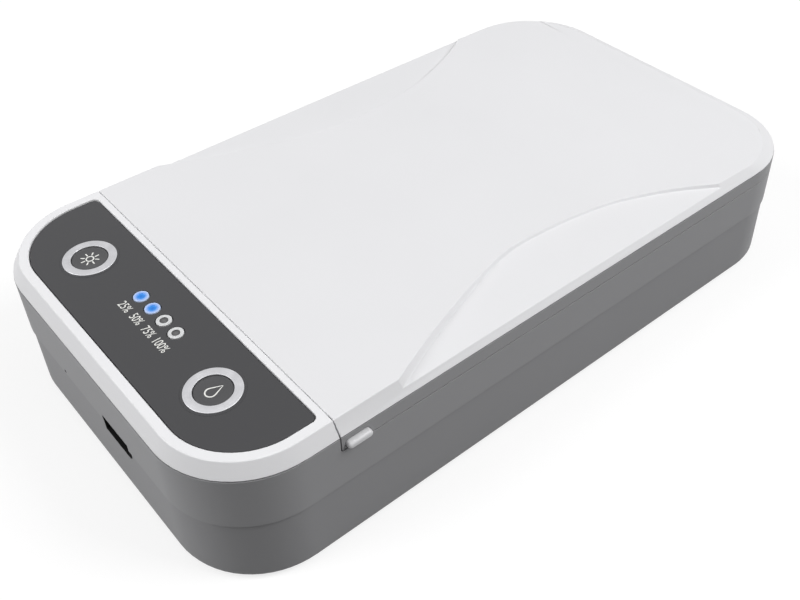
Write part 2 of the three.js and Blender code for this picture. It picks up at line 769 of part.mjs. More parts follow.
function switchPlunger(x) {
  return post(x, BUTTON_Y, PLUNGER_TOP - PLUNGER_H, PLUNGER_TOP, PLUNGER_R);
}

function indicatorLed(x) {
  const [halfL, halfW] = [LED_L / 2, LED_W / 2];
  const z = BOARD_TOP + FIT;
  return block(x - halfL, x + halfL, LIGHT_Y - halfW, LIGHT_Y + halfW, z, z + LED_H);
}

function screw(x, y, seat, bite, shankR, headR, headH) {
  const head = turned([
    [0, seat - headH],
    [headR - FIT, seat - headH],
    [headR, seat - headH / 2],
    [headR, seat],
    [0, seat],
  ], x, y, SMALL_STEPS);
  return joined(head, post(x, y, seat - headH / 2, bite, shankR));
}

function lidSensor() {
  const z = BOARD_TOP + FIT;
  const y = SEAM_Y - SENSOR_SETBACK;
  const [halfL, halfW] = [SENSOR_L / 2, SENSOR_W / 2];
  return block(SENSOR_X - halfL, SENSOR_X + halfL, y - halfW, y + halfW, z, z + SENSOR_H);
}

function driverBoard() {
  return block(-DRIVER_W / 2, DRIVER_W / 2, DRIVER_FRONT, DRIVER_REAR, DRIVER_BOTTOM, DRIVER_TOP);
}

function usbSocket() {
  const [x0, x1] = [SLOT_X - SOCKET_W / 2, SLOT_X + SOCKET_W / 2];
  const y0 = DRIVER_FRONT - FIT - EMBED;
  const y1 = y0 + SOCKET_L;
  const [z0, z1] = [DRIVER_PARTS_Z, DRIVER_PARTS_Z + SOCKET_H];
  const shell = block(x0, x1, y0, y1, z0, z1);
  const mouth = block(
    x0 + SOCKET_T, x1 - SOCKET_T,
    y0 - OVERRUN, y1 - SOCKET_T,
    z0 + SOCKET_T, z1 - SOCKET_T,
  );
  const mid = (z0 + z1) / 2;
  const tongue = block(
    SLOT_X - TONGUE_W / 2, SLOT_X + TONGUE_W / 2,
    y1 - SOCKET_T - TONGUE_L, y1 - SOCKET_T / 2,
    mid - TONGUE_T / 2, mid + TONGUE_T / 2,
  );
  return joined(cut(shell, mouth), tongue);
}

function transformer() {
  const z = DRIVER_PARTS_Z;
  const [halfL, halfW] = [COIL_L / 2, COIL_W / 2];
  const coil = block(COIL_X - halfL, COIL_X + halfL, DRIVER_MID - halfW, DRIVER_MID + halfW, z, z + COIL_H);
  const reach = halfL + CORE_OVERHANG;
  const coreY = halfW - CORE_OVERHANG;
  const middle = z + COIL_H / 2;
  const core = block(
    COIL_X - reach, COIL_X + reach,
    DRIVER_MID - coreY, DRIVER_MID + coreY,
    middle - CORE_H / 2, middle + CORE_H / 2,
  );
  return joined(coil, core);
}

function capacitor() {
  const [z0, z1] = [DRIVER_PARTS_Z, DRIVER_PARTS_Z + CAPACITOR_H];
  return post(CAPACITOR_X, DRIVER_MID, z0, z1, CAPACITOR_R, ROUND_STEPS);
}

function boardRibbon() {
  const y = SEAM_Y - RIBBON_SETBACK;
  return block(RIBBON_X, RIBBON_X + RIBBON_W, y - RIBBON_T, y, DRIVER_PARTS_Z, BOARD_BOTTOM - FIT);
}

// Phone chamber
function trayRim(grow) {
  const x = CHAMBER_X + grow;
  return roundedBox(-x, x, CHAMBER_FRONT - grow, CHAMBER_REAR + grow, CHAMBER_R + grow);
}

function chamberTray() {
  const body = prism(trayRim(TRAY_T), CHAMBER_FLOOR - TRAY_T, RIM_Z);
  const flange = prism(trayRim(TRAY_T + TRAY_FLANGE_W), RIM_Z - TRAY_FLANGE_T, RIM_Z);
  let tray = cut(joined(body, flange), prism(trayRim(0), CHAMBER_FLOOR, RIM_Z + OVERRUN));
  const middle = (CHAMBER_FRONT + CHAMBER_REAR) / 2;
  const span = (CHAMBER_REAR - CHAMBER_FRONT) * FIN_SPAN_SHARE;
  for (let i = 0; i < FIN_COUNT; i += 1) {
    const y = middle + span * (i / (FIN_COUNT - 1) - 1 / 2);
    for (const [, s] of SIDES) {
      const [x0, x1] = [s * (CHAMBER_X - FIN_L), s * (CHAMBER_X + EMBED)].sort((p, q) => p - q);
      const [z0, z1] = [CHAMBER_FLOOR - EMBED, CHAMBER_FLOOR + FIN_H];
      tray = joined(tray, block(x0, x1, y - FIN_T / 2, y + FIN_T / 2, z0, z1));
    }
  }
  return tray;
}

function aromaPlace() {
  return CHAMBER_FRONT + PAD_GAP;
}

function aromaPad() {
  const y = aromaPlace();
  const z = CHAMBER_FLOOR + FIT;
  return block(-PAD_W / 2, PAD_W / 2, y, y + PAD_L, z, z + PAD_H);
}

function aromaCover() {
  const y = aromaPlace();
  const z = CHAMBER_FLOOR + FIT + PAD_H + FIT;
  let cover = block(-PAD_W / 2, PAD_W / 2, y, y + PAD_L, z, z + PAD_COVER_T);
  const slotHalf = (PAD_L * PAD_SLOT_SHARE) / 2;
  const mid = y + PAD_L / 2;
  for (let i = 0; i < PAD_SLOTS; i += 1) {
    const x = (i - (PAD_SLOTS - 1) / 2) * (PAD_W / (PAD_SLOTS + 1));
    const half = PAD_SLOT_W / 2;
    const [z0, z1] = [z - OVERRUN, z + PAD_COVER_T + OVERRUN];
    cover = cut(cover, block(x - half, x + half, mid - slotHalf, mid + slotHalf, z0, z1));
  }
  return cover;
}

// Lamps and their end holders
function lamp(z) {
  const round = LAMP_R / 2;
  const half = (LAMP_REAR - LAMP_FRONT) / 2;
  const middle = (LAMP_REAR + LAMP_FRONT) / 2;
  const points = [
    [0, -half],
    [round, -half],
    [LAMP_R, round - half],
    [LAMP_R, half - round],
    [round, half],
    [0, half],
  ].map(([r, y]) => new THREE.Vector2(r, y));
  const geometry = new THREE.LatheGeometry(points, ROUND_STEPS);
  geometry.translate(0, middle, z);
  return solid(geometry);
}

function holderSpan(end) {
  const tip = end < 0 ? LAMP_FRONT : LAMP_REAR;
  const inner = tip - end * (SOCKET_BITE - FIT);
  const outer = inner + end * HOLDER_L;
  return { inner, outer };
}

function lampHolder(end, axis, z0, z1) {
  const { inner, outer } = holderSpan(end);
  const [y0, y1] = [inner, outer].sort((p, q) => p - q);
  const body = block(-HOLDER_W / 2, HOLDER_W / 2, y0, y1, z0, z1);
  const [mouth, seat] = [inner - end * OVERRUN, inner + end * SOCKET_BITE];
  const bore = rod([0, mouth, axis], [0, seat, axis], LAMP_R + FIT, ROUND_STEPS);
  return cut(body, bore);
}

function lowerHolder(end) {
  return lampHolder(end, LOWER_LAMP_Z, CHAMBER_FLOOR + FIT, LOWER_LAMP_Z + LAMP_R + FIT + HOLDER_TOP_T);
}

function upperHolder(end) {
  return lampHolder(end, UPPER_LAMP_Z, UPPER_LAMP_Z - LAMP_R / 2, TROUGH_CEILING - FIT / 2);
}

// Lid
function facetCutter(side) {
  const curve = new THREE.SplineCurve(ARC_X_SHARES.map((share, i) => (
    new THREE.Vector2(share * HALF_W, ARC_Y_SHARES[i] * HALF_L)
  )));
  const points = curve.getPoints(ARC_STEPS).reverse();
  const far = HALF_W + CORNER_R;
  const level = (z) => {
    const shift = (TOP_Z - z) * FACET_BEVEL_SHARE;
    const inner = points.map((p) => [side * (p.x + shift), p.y, z]);
    const [first, last] = [points[points.length - 1].y, points[0].y];
    const edge = side * (far + shift);
    const ring = [[edge, first, z], [edge, last, z], ...inner];
    return side > 0 ? ring : ring.reverse();
  };
  const walls = stack([level(COVER_BOTTOM), level(TOP_Z + OVERRUN)]);
  const planeAt = (x) => FACET_Z + (FACET_X - x) * FACET_SLOPE_SHARE;
  const above = prismAlongY([
    [0, planeAt(0)],
    [side * far, planeAt(far)],
    [side * far, TOP_Z + COVER_H],
    [0, TOP_Z + COVER_H],
  ], -LENGTH, LENGTH);
  return walls.intersect(above);
}

function lidScrewPlaces() {
  return SIDES.flatMap(([side, s]) => {
    const x = s * (CENTRE_HALF - LID_SCREW_EDGE);
    return [
      [`lid_screw_front_${side}`, x, LID_FRONT + LID_SCREW_FRONT],
      [`lid_screw_rear_${side}`, x, HALF_L - LID_SCREW_REAR],
    ];
  });
}

function lidCover() {
  const blank = lidSide(coverBlank());
  const shaped = cut(blank, facetCutter(1), facetCutter(-1));
  const wide = lidSide(
    prism(bodyOutline(COVER_WALL), COVER_BOTTOM - OVERRUN, FACET_Z - COVER_T),
    LID_FRONT + COVER_WALL,
  );
  const [front, rear] = [LID_FRONT + CENTRE_MARGIN, HALF_L - CENTRE_MARGIN];
  const floor = COVER_BOTTOM - OVERRUN;
  const hollow = [[rear, floor], [front, floor], ...crownProfile(front, rear, COVER_T)];
  let cover = cut(shaped, wide, prismAlongX(hollow, -CENTRE_HALF, CENTRE_HALF));
  for (const [, x, y] of lidScrewPlaces()) {
    const bottom = LINER_TOP + FIT;
    cover = joined(cover, post(x, y, bottom, crownAt(y + POST_R) - COVER_T + EMBED, POST_R));
    cover = cut(cover, post(x, y, bottom - OVERRUN, bottom + SMALL_BITE + FIT, SMALL_SHANK_R + FIT));
  }
  return cover;
}

function catchOutline(grow) {
  const half = CATCH_H / 2 + grow;
  const y0 = LID_FRONT + CATCH_SETBACK - grow + half;
  const y1 = LID_FRONT + CATCH_SETBACK + CATCH_L + grow - half;
  const z = SKIRT_BOTTOM + CATCH_RISE;
  return [
    ...arc(y1, z, half, -90, 90, SMALL_STEPS / 2),
    ...arc(y0, z, half, 90, 270, SMALL_STEPS / 2),
  ];
}

function catchPrism(side, grow, from, to) {
  const ring = (x, shrink) => catchOutline(grow - shrink).map(([y, z]) => [y, z, x]);
  const edge = Math.min(CATCH_H / 2, CATCH_PROUD) / 2;
  const rings = grow > 0
    ? [ring(from, 0), ring(to, 0)]
    : [ring(from, 0), ring(to - edge, 0), ring(to, edge / 2)];
  const geometry = geometryOf(stack(rings));
  const toSide = new THREE.Matrix4().set(0, 0, side, 0, 1, 0, 0, 0, 0, 1, 0, 0, 0, 0, 0, 1);
  return solid(geometry.applyMatrix4(toSide));
}

function fingerCatch(side) {
  return catchPrism(side, 0, HALF_W - CATCH_DEPTH, HALF_W + CATCH_PROUD);
}

function lidSkirt() {
  const outer = lidSide(prism(bodyOutline(0), SKIRT_BOTTOM, WALL_TOP));
  const inner = lidSide(
    prism(bodyOutline(WALL), SKIRT_BOTTOM - OVERRUN, WALL_TOP + OVERRUN),
    LID_FRONT + WALL,
  );
  const half = FLAP_WIDTH / 2;
  const flap = block(-half, half, HALF_L - WALL, HALF_L, HINGE_Z, SKIRT_BOTTOM + EMBED);
  const barrel = rod([-half, HINGE_Y, HINGE_Z], [half, HINGE_Y, HINGE_Z], BARREL_R, ROUND_STEPS);
  const bore = rod(
    [-half - OVERRUN, HINGE_Y, HINGE_Z], [half + OVERRUN, HINGE_Y, HINGE_Z],
    PIN_R + FIT, SMALL_STEPS,
  );
  let skirt = cut(joined(cut(outer, inner), flap, barrel), bore);
  for (const [, s] of SIDES) {
    skirt = cut(skirt, catchPrism(s, CATCH_GAP, HALF_W - CATCH_DEPTH - CATCH_GAP, HALF_W + OVERRUN));
  }
  return skirt;
}

function hingePin() {
  const reach = HINGE_BAY_X + LUG_T - FIT;
  return rod([-reach, HINGE_Y, HINGE_Z], [reach, HINGE_Y, HINGE_Z], PIN_R, SMALL_STEPS);
}

function lidLiner() {
  const plate = lidSide(prism(bodyOutline(LINER_INSET), LINER_BOTTOM, LINER_TOP), LID_FRONT + LINER_INSET);
  const hood = prismAlongY([
    [-TROUGH_HALF, LINER_BOTTOM + EMBED],
    [TROUGH_HALF, LINER_BOTTOM + EMBED],
    [TROUGH_HALF, LINER_TOP],
    [TROUGH_TOP_HALF, TROUGH_TOP],
    [-TROUGH_TOP_HALF, TROUGH_TOP],
    [-TROUGH_HALF, LINER_TOP],
  ], TROUGH_FRONT, TROUGH_REAR);
  const topHalf = TROUGH_TOP_HALF - TROUGH_T / 2;
  const mouthHalf = TROUGH_HALF - TROUGH_T;
  const hollow = prismAlongY([
    [-mouthHalf, LINER_BOTTOM - OVERRUN],
    [mouthHalf, LINER_BOTTOM - OVERRUN],
    [mouthHalf, LINER_BOTTOM],
    [topHalf, TROUGH_CEILING],
    [-topHalf, TROUGH_CEILING],
    [-mouthHalf, LINER_BOTTOM],
  ], TROUGH_FRONT + TROUGH_T, TROUGH_REAR - TROUGH_T);
  let liner = cut(joined(plate, hood), hollow);
  for (const [, x, y] of lidScrewPlaces()) {
    liner = cut(liner, post(x, y, LINER_BOTTOM - OVERRUN, LINER_TOP + OVERRUN, SMALL_SHANK_R + FIT));
  }
  return liner;
}

function lidMagnet() {
  const x = CENTRE_HALF - MAGNET_EDGE;
  const z = LINER_TOP + FIT;
  return post(x, LID_FRONT + MAGNET_SETBACK, z, z + MAGNET_H, MAGNET_R, ROUND_STEPS);
}

// Assembly
const box = new THREE.Group();

function add(name, shape, material) {
  const mesh = new THREE.Mesh(geometryOf(shape), material);
  mesh.name = name;
  box.add(mesh);
}

add('lower_shell', lowerShell(), MATERIALS.grey);
add('upper_shell', upperShell(), MATERIALS.grey);
add('front_bezel', frontBezel(), MATERIALS.white);
add('control_panel', controlPanel(), MATERIALS.panel);

for (const [side, x] of buttonPlaces()) {
  add(`${side}_button_ring`, buttonRing(x), MATERIALS.silver);
  add(`${side}_button_cap`, buttonCap(x), MATERIALS.cap);
  add(`${side}_switch_body`, switchBody(x), MATERIALS.black);
  add(`${side}_switch_plunger`, switchPlunger(x), MATERIALS.ceramic);
}

lightPlaces().forEach((x, i) => {
  const lit = i < LIGHT_COUNT / 2;
  add(`indicator_lens_${i + 1}`, indicatorLens(x), lit ? MATERIALS.blue : MATERIALS.lens);
  add(`indicator_led_${i + 1}`, indicatorLed(x), MATERIALS.ceramic);
});

add('control_board', controlBoard(), MATERIALS.board);
for (const [side, s] of SIDES) {
  const x = (s * BOARD_SCREW_SPACING) / 2;
  const bite = BOARD_TOP + FIT + SMALL_BITE;
  const driven = screw(x, BOARD_SCREW_Y, BOARD_BOTTOM - FIT, bite, SMALL_SHANK_R, SMALL_HEAD_R, SMALL_HEAD_H);
  add(`board_screw_${side}`, driven, MATERIALS.steel);
}
add('lid_sensor', lidSensor(), MATERIALS.black);
add('driver_board', driverBoard(), MATERIALS.board);
add('usb_socket', usbSocket(), MATERIALS.steel);
add('lamp_transformer', transformer(), MATERIALS.copper);
add('driver_capacitor', capacitor(), MATERIALS.black);
add('board_ribbon', boardRibbon(), MATERIALS.ribbon);

add('chamber_tray', chamberTray(), MATERIALS.reflector);
add('lower_lamp', lamp(LOWER_LAMP_Z), MATERIALS.glass);
for (const [end, s] of ENDS) {
  add(`lower_lamp_holder_${end}`, lowerHolder(s), MATERIALS.ceramic);
}
add('scent_pad', aromaPad(), MATERIALS.felt);
add('scent_pad_cover', aromaCover(), MATERIALS.white);
add('hinge_pin', hingePin(), MATERIALS.steel);

for (const [corner, sx, sy] of CORNERS) {
  const foot = footPlace();
  const pad = post(sx * foot.x, sy * foot.y, 0, FOOT_PROUD + FOOT_SEAT, FOOT_R, ROUND_STEPS);
  add(`rubber_foot_${corner}`, pad, MATERIALS.rubber);
  const bite = UPPER_BOTTOM + CASE_BITE;
  const driven = screw(sx * BOSS_X, sy * BOSS_Y, caseHeadTop(), bite, CASE_SHANK_R, CASE_HEAD_R, CASE_HEAD_H);
  add(`case_screw_${corner}`, driven, MATERIALS.steel);
}

add('lid_cover', lidCover(), MATERIALS.white);
add('lid_skirt', lidSkirt(), MATERIALS.grey);
add('lid_liner', lidLiner(), MATERIALS.reflector);
add('upper_lamp', lamp(UPPER_LAMP_Z), MATERIALS.glass);
for (const [end, s] of ENDS) {
  add(`upper_lamp_holder_${end}`, upperHolder(s), MATERIALS.ceramic);
}
for (const [side, s] of SIDES) {
  add(`finger_catch_${side}`, fingerCatch(s), MATERIALS.white);
}
for (const [name, x, y] of lidScrewPlaces()) {
  const bite = LINER_TOP + FIT + SMALL_BITE;
  const driven = screw(x, y, LINER_BOTTOM - FIT, bite, SMALL_SHANK_R, SMALL_HEAD_R, SMALL_HEAD_H);
  add(name, driven, MATERIALS.steel);
}
add('lid_magnet', lidMagnet(), MATERIALS.steel);

export default box;
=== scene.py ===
# The look of a countertop box that cleans a phone with ultraviolet light.
# Metres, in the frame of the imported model: +Z up, +X the right side, -Y the control end.

import json
import math

import bmesh
import bpy
from mathutils import Matrix, Vector, noise


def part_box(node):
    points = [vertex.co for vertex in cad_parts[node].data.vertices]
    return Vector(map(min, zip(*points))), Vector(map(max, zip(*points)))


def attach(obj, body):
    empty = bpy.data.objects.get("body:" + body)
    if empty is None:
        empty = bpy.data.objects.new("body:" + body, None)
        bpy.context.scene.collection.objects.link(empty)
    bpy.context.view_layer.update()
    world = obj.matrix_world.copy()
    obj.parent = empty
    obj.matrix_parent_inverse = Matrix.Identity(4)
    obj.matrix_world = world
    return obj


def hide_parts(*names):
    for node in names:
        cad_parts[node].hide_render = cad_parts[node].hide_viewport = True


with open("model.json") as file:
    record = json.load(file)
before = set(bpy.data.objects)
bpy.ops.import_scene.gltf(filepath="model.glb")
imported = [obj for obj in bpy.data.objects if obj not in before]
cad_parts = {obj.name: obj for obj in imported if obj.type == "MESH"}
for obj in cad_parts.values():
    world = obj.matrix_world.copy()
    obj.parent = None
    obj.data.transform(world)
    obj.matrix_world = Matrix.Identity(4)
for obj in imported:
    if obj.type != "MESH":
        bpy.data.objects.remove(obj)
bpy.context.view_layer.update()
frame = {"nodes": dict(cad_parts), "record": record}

MM = 0.001
BODY_OF = {
    node: body
    for body, members in frame["record"]["behaviour"]["bodies"].items()
    for node in members
}
SLOT_OF = {row["node"]: row["material_slot"] for row in frame["record"]["subparts"]}
SIDES = ("left", "right")
CORNERS = ("front_left", "front_right", "rear_left", "rear_right")

# Camera, read from the photograph: its angle, distance and optical centre in pixels
AZIMUTH = math.radians(49.63)
ELEVATION = math.radians(40.31)
ROLL = math.radians(-0.5)
DISTANCE = 328.27 * MM
TARGET = Vector((5.01, 4.41, 14.31)) * MM
IMAGE_WIDTH = 800
IMAGE_HEIGHT = 600
FOCAL_PIXELS = 1047.09
CENTRE_PIXEL_X = 442.22
CENTRE_PIXEL_Y = 255.72
SENSOR = 36
CLIP_NEAR = 0.01
CLIP_FAR = 20


def make_camera():
    data = bpy.data.cameras.new("camera")
    camera = bpy.data.objects.new("camera", data)
    bpy.context.scene.collection.objects.link(camera)
    data.sensor_width = SENSOR
    data.lens = SENSOR * FOCAL_PIXELS / IMAGE_WIDTH
    data.shift_x = (IMAGE_WIDTH / 2 - CENTRE_PIXEL_X) / IMAGE_WIDTH
    data.shift_y = (CENTRE_PIXEL_Y - IMAGE_HEIGHT / 2) / IMAGE_WIDTH
    data.clip_start = CLIP_NEAR
    data.clip_end = CLIP_FAR
    back = Vector((
        math.sin(AZIMUTH) * math.cos(ELEVATION),
        -math.cos(AZIMUTH) * math.cos(ELEVATION),
        math.sin(ELEVATION),
    ))
    right = Vector((0, 0, 1)).cross(back).normalized()
    up = back.cross(right)
    x = right * math.cos(ROLL) + up * math.sin(ROLL)
    y = up * math.cos(ROLL) - right * math.sin(ROLL)
    turn = Matrix((x, y, back)).transposed().to_4x4()
    camera.matrix_world = Matrix.Translation(TARGET + back * DISTANCE) @ turn
    bpy.context.scene.camera = camera


# Materials: shared steps. Colours are written as 0 to 255, as they look on a screen
SRGB_MAX = 255
SRGB_KNEE = 0.04045
SRGB_SLOPE = 12.92
SRGB_OFFSET = 0.055
SRGB_POWER = 2.4


def srgb(value):
    part = value / SRGB_MAX
    if part <= SRGB_KNEE:
        return part / SRGB_SLOPE
    return ((part + SRGB_OFFSET) / (1 + SRGB_OFFSET)) ** SRGB_POWER


def colour(r, g, b):
    return (srgb(r), srgb(g), srgb(b), 1)


def new_material(name):
    material = bpy.data.materials.new(name)
    material.use_nodes = True
    return material, material.node_tree.nodes, material.node_tree.links


def object_place(nodes):
    return nodes.new("ShaderNodeTexCoord").outputs["Object"]


def noise_at(nodes, links, place, scale, octaves=2):
    texture = nodes.new("ShaderNodeTexNoise")
    texture.inputs["Scale"].default_value = scale
    texture.inputs["Detail"].default_value = octaves
    links.new(place, texture.inputs["Vector"])
    return texture.outputs["Fac"]


def bump_from(nodes, links, height, strength, depth):
    bump = nodes.new("ShaderNodeBump")
    bump.inputs["Strength"].default_value = strength
    bump.inputs["Distance"].default_value = depth
    links.new(height, bump.inputs["Height"])
    links.new(bump.outputs["Normal"], nodes["Principled BSDF"].inputs["Normal"])


def roughness_from(nodes, links, value, low, high):
    spread = nodes.new("ShaderNodeMapRange")
    spread.inputs["To Min"].default_value = low
    spread.inputs["To Max"].default_value = high
    links.new(value, spread.inputs["Value"])
    links.new(spread.outputs["Result"], nodes["Principled BSDF"].inputs["Roughness"])


def blended(nodes, links, factor, low, high):
    mix = nodes.new("ShaderNodeMix")
    mix.data_type = "RGBA"
    mix.inputs["A"].default_value = low
    mix.inputs["B"].default_value = high
    links.new(factor, mix.inputs["Factor"])
    return mix.outputs["Result"]


def shaded(rgb, share):
    base = colour(*rgb)
    return tuple(min(1, part * share) for part in base[:3]) + (1,)


def tinted(nodes, links, factor, low, high):
    tint = blended(nodes, links, factor, low, high)
    links.new(tint, nodes["Principled BSDF"].inputs["Base Color"])


def combined(nodes, links, operation, first, second):
    step = nodes.new("ShaderNodeMath")
    step.operation = operation
    links.new(first, step.inputs[0])
    links.new(second, step.inputs[1])
    return step.outputs[0]


def ramp_from(nodes, links, factor, stops):
    ramp = nodes.new("ShaderNodeValToRGB")
    points = ramp.color_ramp.elements
    while len(points) < len(stops):
        points.new(1)
    for point, (position, rgb) in zip(points, stops):
        point.position = position
        point.color = colour(*rgb)
    links.new(factor, ramp.inputs["Fac"])
    return ramp.outputs["Color"]


def distance_from_axis(nodes, links, place, reach):
    flat = nodes.new("ShaderNodeVectorMath")
    flat.operation = "MULTIPLY"
    flat.inputs[1].default_value = (1 / reach, 1 / reach, 0)
    links.new(place, flat.inputs[0])
    length = nodes.new("ShaderNodeVectorMath")
    length.operation = "LENGTH"
    links.new(flat.outputs["Vector"], length.inputs[0])
    return length.outputs["Value"]


# Materials: one function for each kind. A scale is in noise cells per metre
MOTTLE_SCALE = 25
GRAIN_OCTAVES = 3
GRAIN_DEPTH = 0.05 * MM
GRAIN_SPREAD = 0.03


def moulded(name, rgb, roughness, grain=0.02, scale=9000, metallic=0, mottle=0.02, gloss=0.5):
    material, nodes, links = new_material(name)
    shader = nodes["Principled BSDF"]
    shader.inputs["Metallic"].default_value = metallic
    shader.inputs["Specular IOR Level"].default_value = gloss
    place = object_place(nodes)
    fine = noise_at(nodes, links, place, scale, GRAIN_OCTAVES)
    broad = noise_at(nodes, links, place, MOTTLE_SCALE)
    bump_from(nodes, links, fine, grain, GRAIN_DEPTH)
    tinted(nodes, links, broad, shaded(rgb, 1 - mottle), shaded(rgb, 1 + mottle))
    roughness_from(nodes, links, fine, roughness - GRAIN_SPREAD, roughness + GRAIN_SPREAD)
    return material


SPUN_REACH = 7.7 * MM
SPUN_LINES = 46
SPUN_OCTAVES = 4
SPUN_BUMP = 0.12
SPUN_DEPTH = 0.03 * MM
SPUN_PATCH_SCALE = 420
SPUN_PATCH_OCTAVES = 3
SPUN_SPREAD = 0.05
HALF = 0.5


def spun_metal(name, dark, light, roughness):
    material, nodes, links = new_material(name)
    nodes["Principled BSDF"].inputs["Metallic"].default_value = 1
    place = object_place(nodes)
    lines = nodes.new("ShaderNodeTexNoise")
    lines.noise_dimensions = "1D"
    lines.inputs["Scale"].default_value = SPUN_LINES
    lines.inputs["Detail"].default_value = SPUN_OCTAVES
    links.new(distance_from_axis(nodes, links, place, SPUN_REACH), lines.inputs["W"])
    bump_from(nodes, links, lines.outputs["Fac"], SPUN_BUMP, SPUN_DEPTH)
    patches = noise_at(nodes, links, place, SPUN_PATCH_SCALE, SPUN_PATCH_OCTAVES)
    mean = nodes.new("ShaderNodeMath")
    mean.operation = "MULTIPLY"
    mean.inputs[1].default_value = HALF
    links.new(combined(nodes, links, "ADD", lines.outputs["Fac"], patches), mean.inputs[0])
    tinted(nodes, links, mean.outputs[0], colour(*dark), colour(*light))
    roughness_from(nodes, links, patches, roughness - SPUN_SPREAD, roughness + SPUN_SPREAD)
    return material


LENS_REACH = 2.05 * MM
LENS_SCALE = 2500
LENS_BUMP = 0.03
LENS_DEPTH = 0.03 * MM
LENS_ROUGHNESS = 0.3


def lens(name, stops, glow):
    material, nodes, links = new_material(name)
    shader = nodes["Principled BSDF"]
    place = object_place(nodes)
    tint = ramp_from(nodes, links, distance_from_axis(nodes, links, place, LENS_REACH), stops)
    links.new(tint, shader.inputs["Base Color"])
    bump_from(nodes, links, noise_at(nodes, links, place, LENS_SCALE), LENS_BUMP, LENS_DEPTH)
    shader.inputs["Roughness"].default_value = LENS_ROUGHNESS
    if glow:
        links.new(tint, shader.inputs["Emission Color"])
        shader.inputs["Emission Strength"].default_value = glow
    return material


MIRROR_METALLIC = 0.85
MIRROR_WAVE_SCALE = 350
MIRROR_BUMP = 0.06
MIRROR_DEPTH = 0.05 * MM
MIRROR_CLOUD_SCALE = 60
MIRROR_CLOUD_OCTAVES = 3
MIRROR_TINTS = (0.94, 1.04)
MIRROR_HAZE_SCALE = 900
MIRROR_HAZE_OCTAVES = 4
MIRROR_ROUGHNESS = (0.24, 0.34)


def mirror_coat(name, rgb):
    material, nodes, links = new_material(name)
    nodes["Principled BSDF"].inputs["Metallic"].default_value = MIRROR_METALLIC
    place = object_place(nodes)
    waves = noise_at(nodes, links, place, MIRROR_WAVE_SCALE)
    bump_from(nodes, links, waves, MIRROR_BUMP, MIRROR_DEPTH)
    cloud = noise_at(nodes, links, place, MIRROR_CLOUD_SCALE, MIRROR_CLOUD_OCTAVES)
    tinted(nodes, links, cloud, *(shaded(rgb, share) for share in MIRROR_TINTS))
    haze = noise_at(nodes, links, place, MIRROR_HAZE_SCALE, MIRROR_HAZE_OCTAVES)
    roughness_from(nodes, links, haze, *MIRROR_ROUGHNESS)
    return material


GLASS_TRANSMISSION = 0.92
GLASS_IOR = 1.46
GLASS_SCALE = 120
GLASS_OCTAVES = 3
GLASS_TINTS = (0.93, 1.05)
GLASS_ROUGHNESS = (0.02, 0.08)


def clear_glass(name, rgb):
    material, nodes, links = new_material(name)
    shader = nodes["Principled BSDF"]
    shader.inputs["Transmission Weight"].default_value = GLASS_TRANSMISSION
    shader.inputs["IOR"].default_value = GLASS_IOR
    cloud = noise_at(nodes, links, object_place(nodes), GLASS_SCALE, GLASS_OCTAVES)
    tinted(nodes, links, cloud, *(shaded(rgb, share) for share in GLASS_TINTS))
    roughness_from(nodes, links, cloud, *GLASS_ROUGHNESS)
    return material


FELT_SHEEN = 0.4
FELT_SCALE = 3200
FELT_OCTAVES = 6
FELT_TINTS = (0.78, 1.1)
FELT_BUMP = 0.7
FELT_DEPTH = 0.2 * MM
FELT_ROUGHNESS = (0.88, 1)


def pressed_felt(name, rgb):
    material, nodes, links = new_material(name)
    nodes["Principled BSDF"].inputs["Sheen Weight"].default_value = FELT_SHEEN
    fibres = noise_at(nodes, links, object_place(nodes), FELT_SCALE, FELT_OCTAVES)
    tinted(nodes, links, fibres, *(shaded(rgb, share) for share in FELT_TINTS))
    bump_from(nodes, links, fibres, FELT_BUMP, FELT_DEPTH)
    roughness_from(nodes, links, fibres, *FELT_ROUGHNESS)
    return material


TRACK_SCALE = 260
TRACK_WIDTH = 0.03
TRACK_TINT = 1.12
TRACK_BUMP = 0.15
TRACK_DEPTH = 0.04 * MM
LAMINATE_SCALE = 1500
LAMINATE_ROUGHNESS = (0.3, 0.42)


def laminate(name, board, track):
    material, nodes, links = new_material(name)
    place = object_place(nodes)
    tracks = nodes.new("ShaderNodeTexBrick")
    tracks.inputs["Scale"].default_value = TRACK_SCALE
    tracks.inputs["Mortar Size"].default_value = TRACK_WIDTH
    tracks.inputs["Color1"].default_value = colour(*board)
    tracks.inputs["Color2"].default_value = shaded(board, TRACK_TINT)
    tracks.inputs["Mortar"].default_value = colour(*track)
    links.new(place, tracks.inputs["Vector"])
    links.new(tracks.outputs["Color"], nodes["Principled BSDF"].inputs["Base Color"])
    bump_from(nodes, links, tracks.outputs["Fac"], TRACK_BUMP, TRACK_DEPTH)
    weave = noise_at(nodes, links, place, LAMINATE_SCALE)
    roughness_from(nodes, links, weave, *LAMINATE_ROUGHNESS)
    return material


# Colours of the lights from the middle (0) to the rim (1)
LIT_GLOW = 0.18
LIT_STOPS = [
    (0, (8, 100, 194)), (0.42, (38, 130, 212)), (0.66, (122, 162, 226)),
    (0.84, (160, 182, 226)), (1, (180, 194, 222)),
]
UNLIT_STOPS = [
    (0, (104, 104, 105)), (0.34, (80, 80, 81)), (0.52, (72, 72, 73)), (0.58, (214, 215, 216)),
]

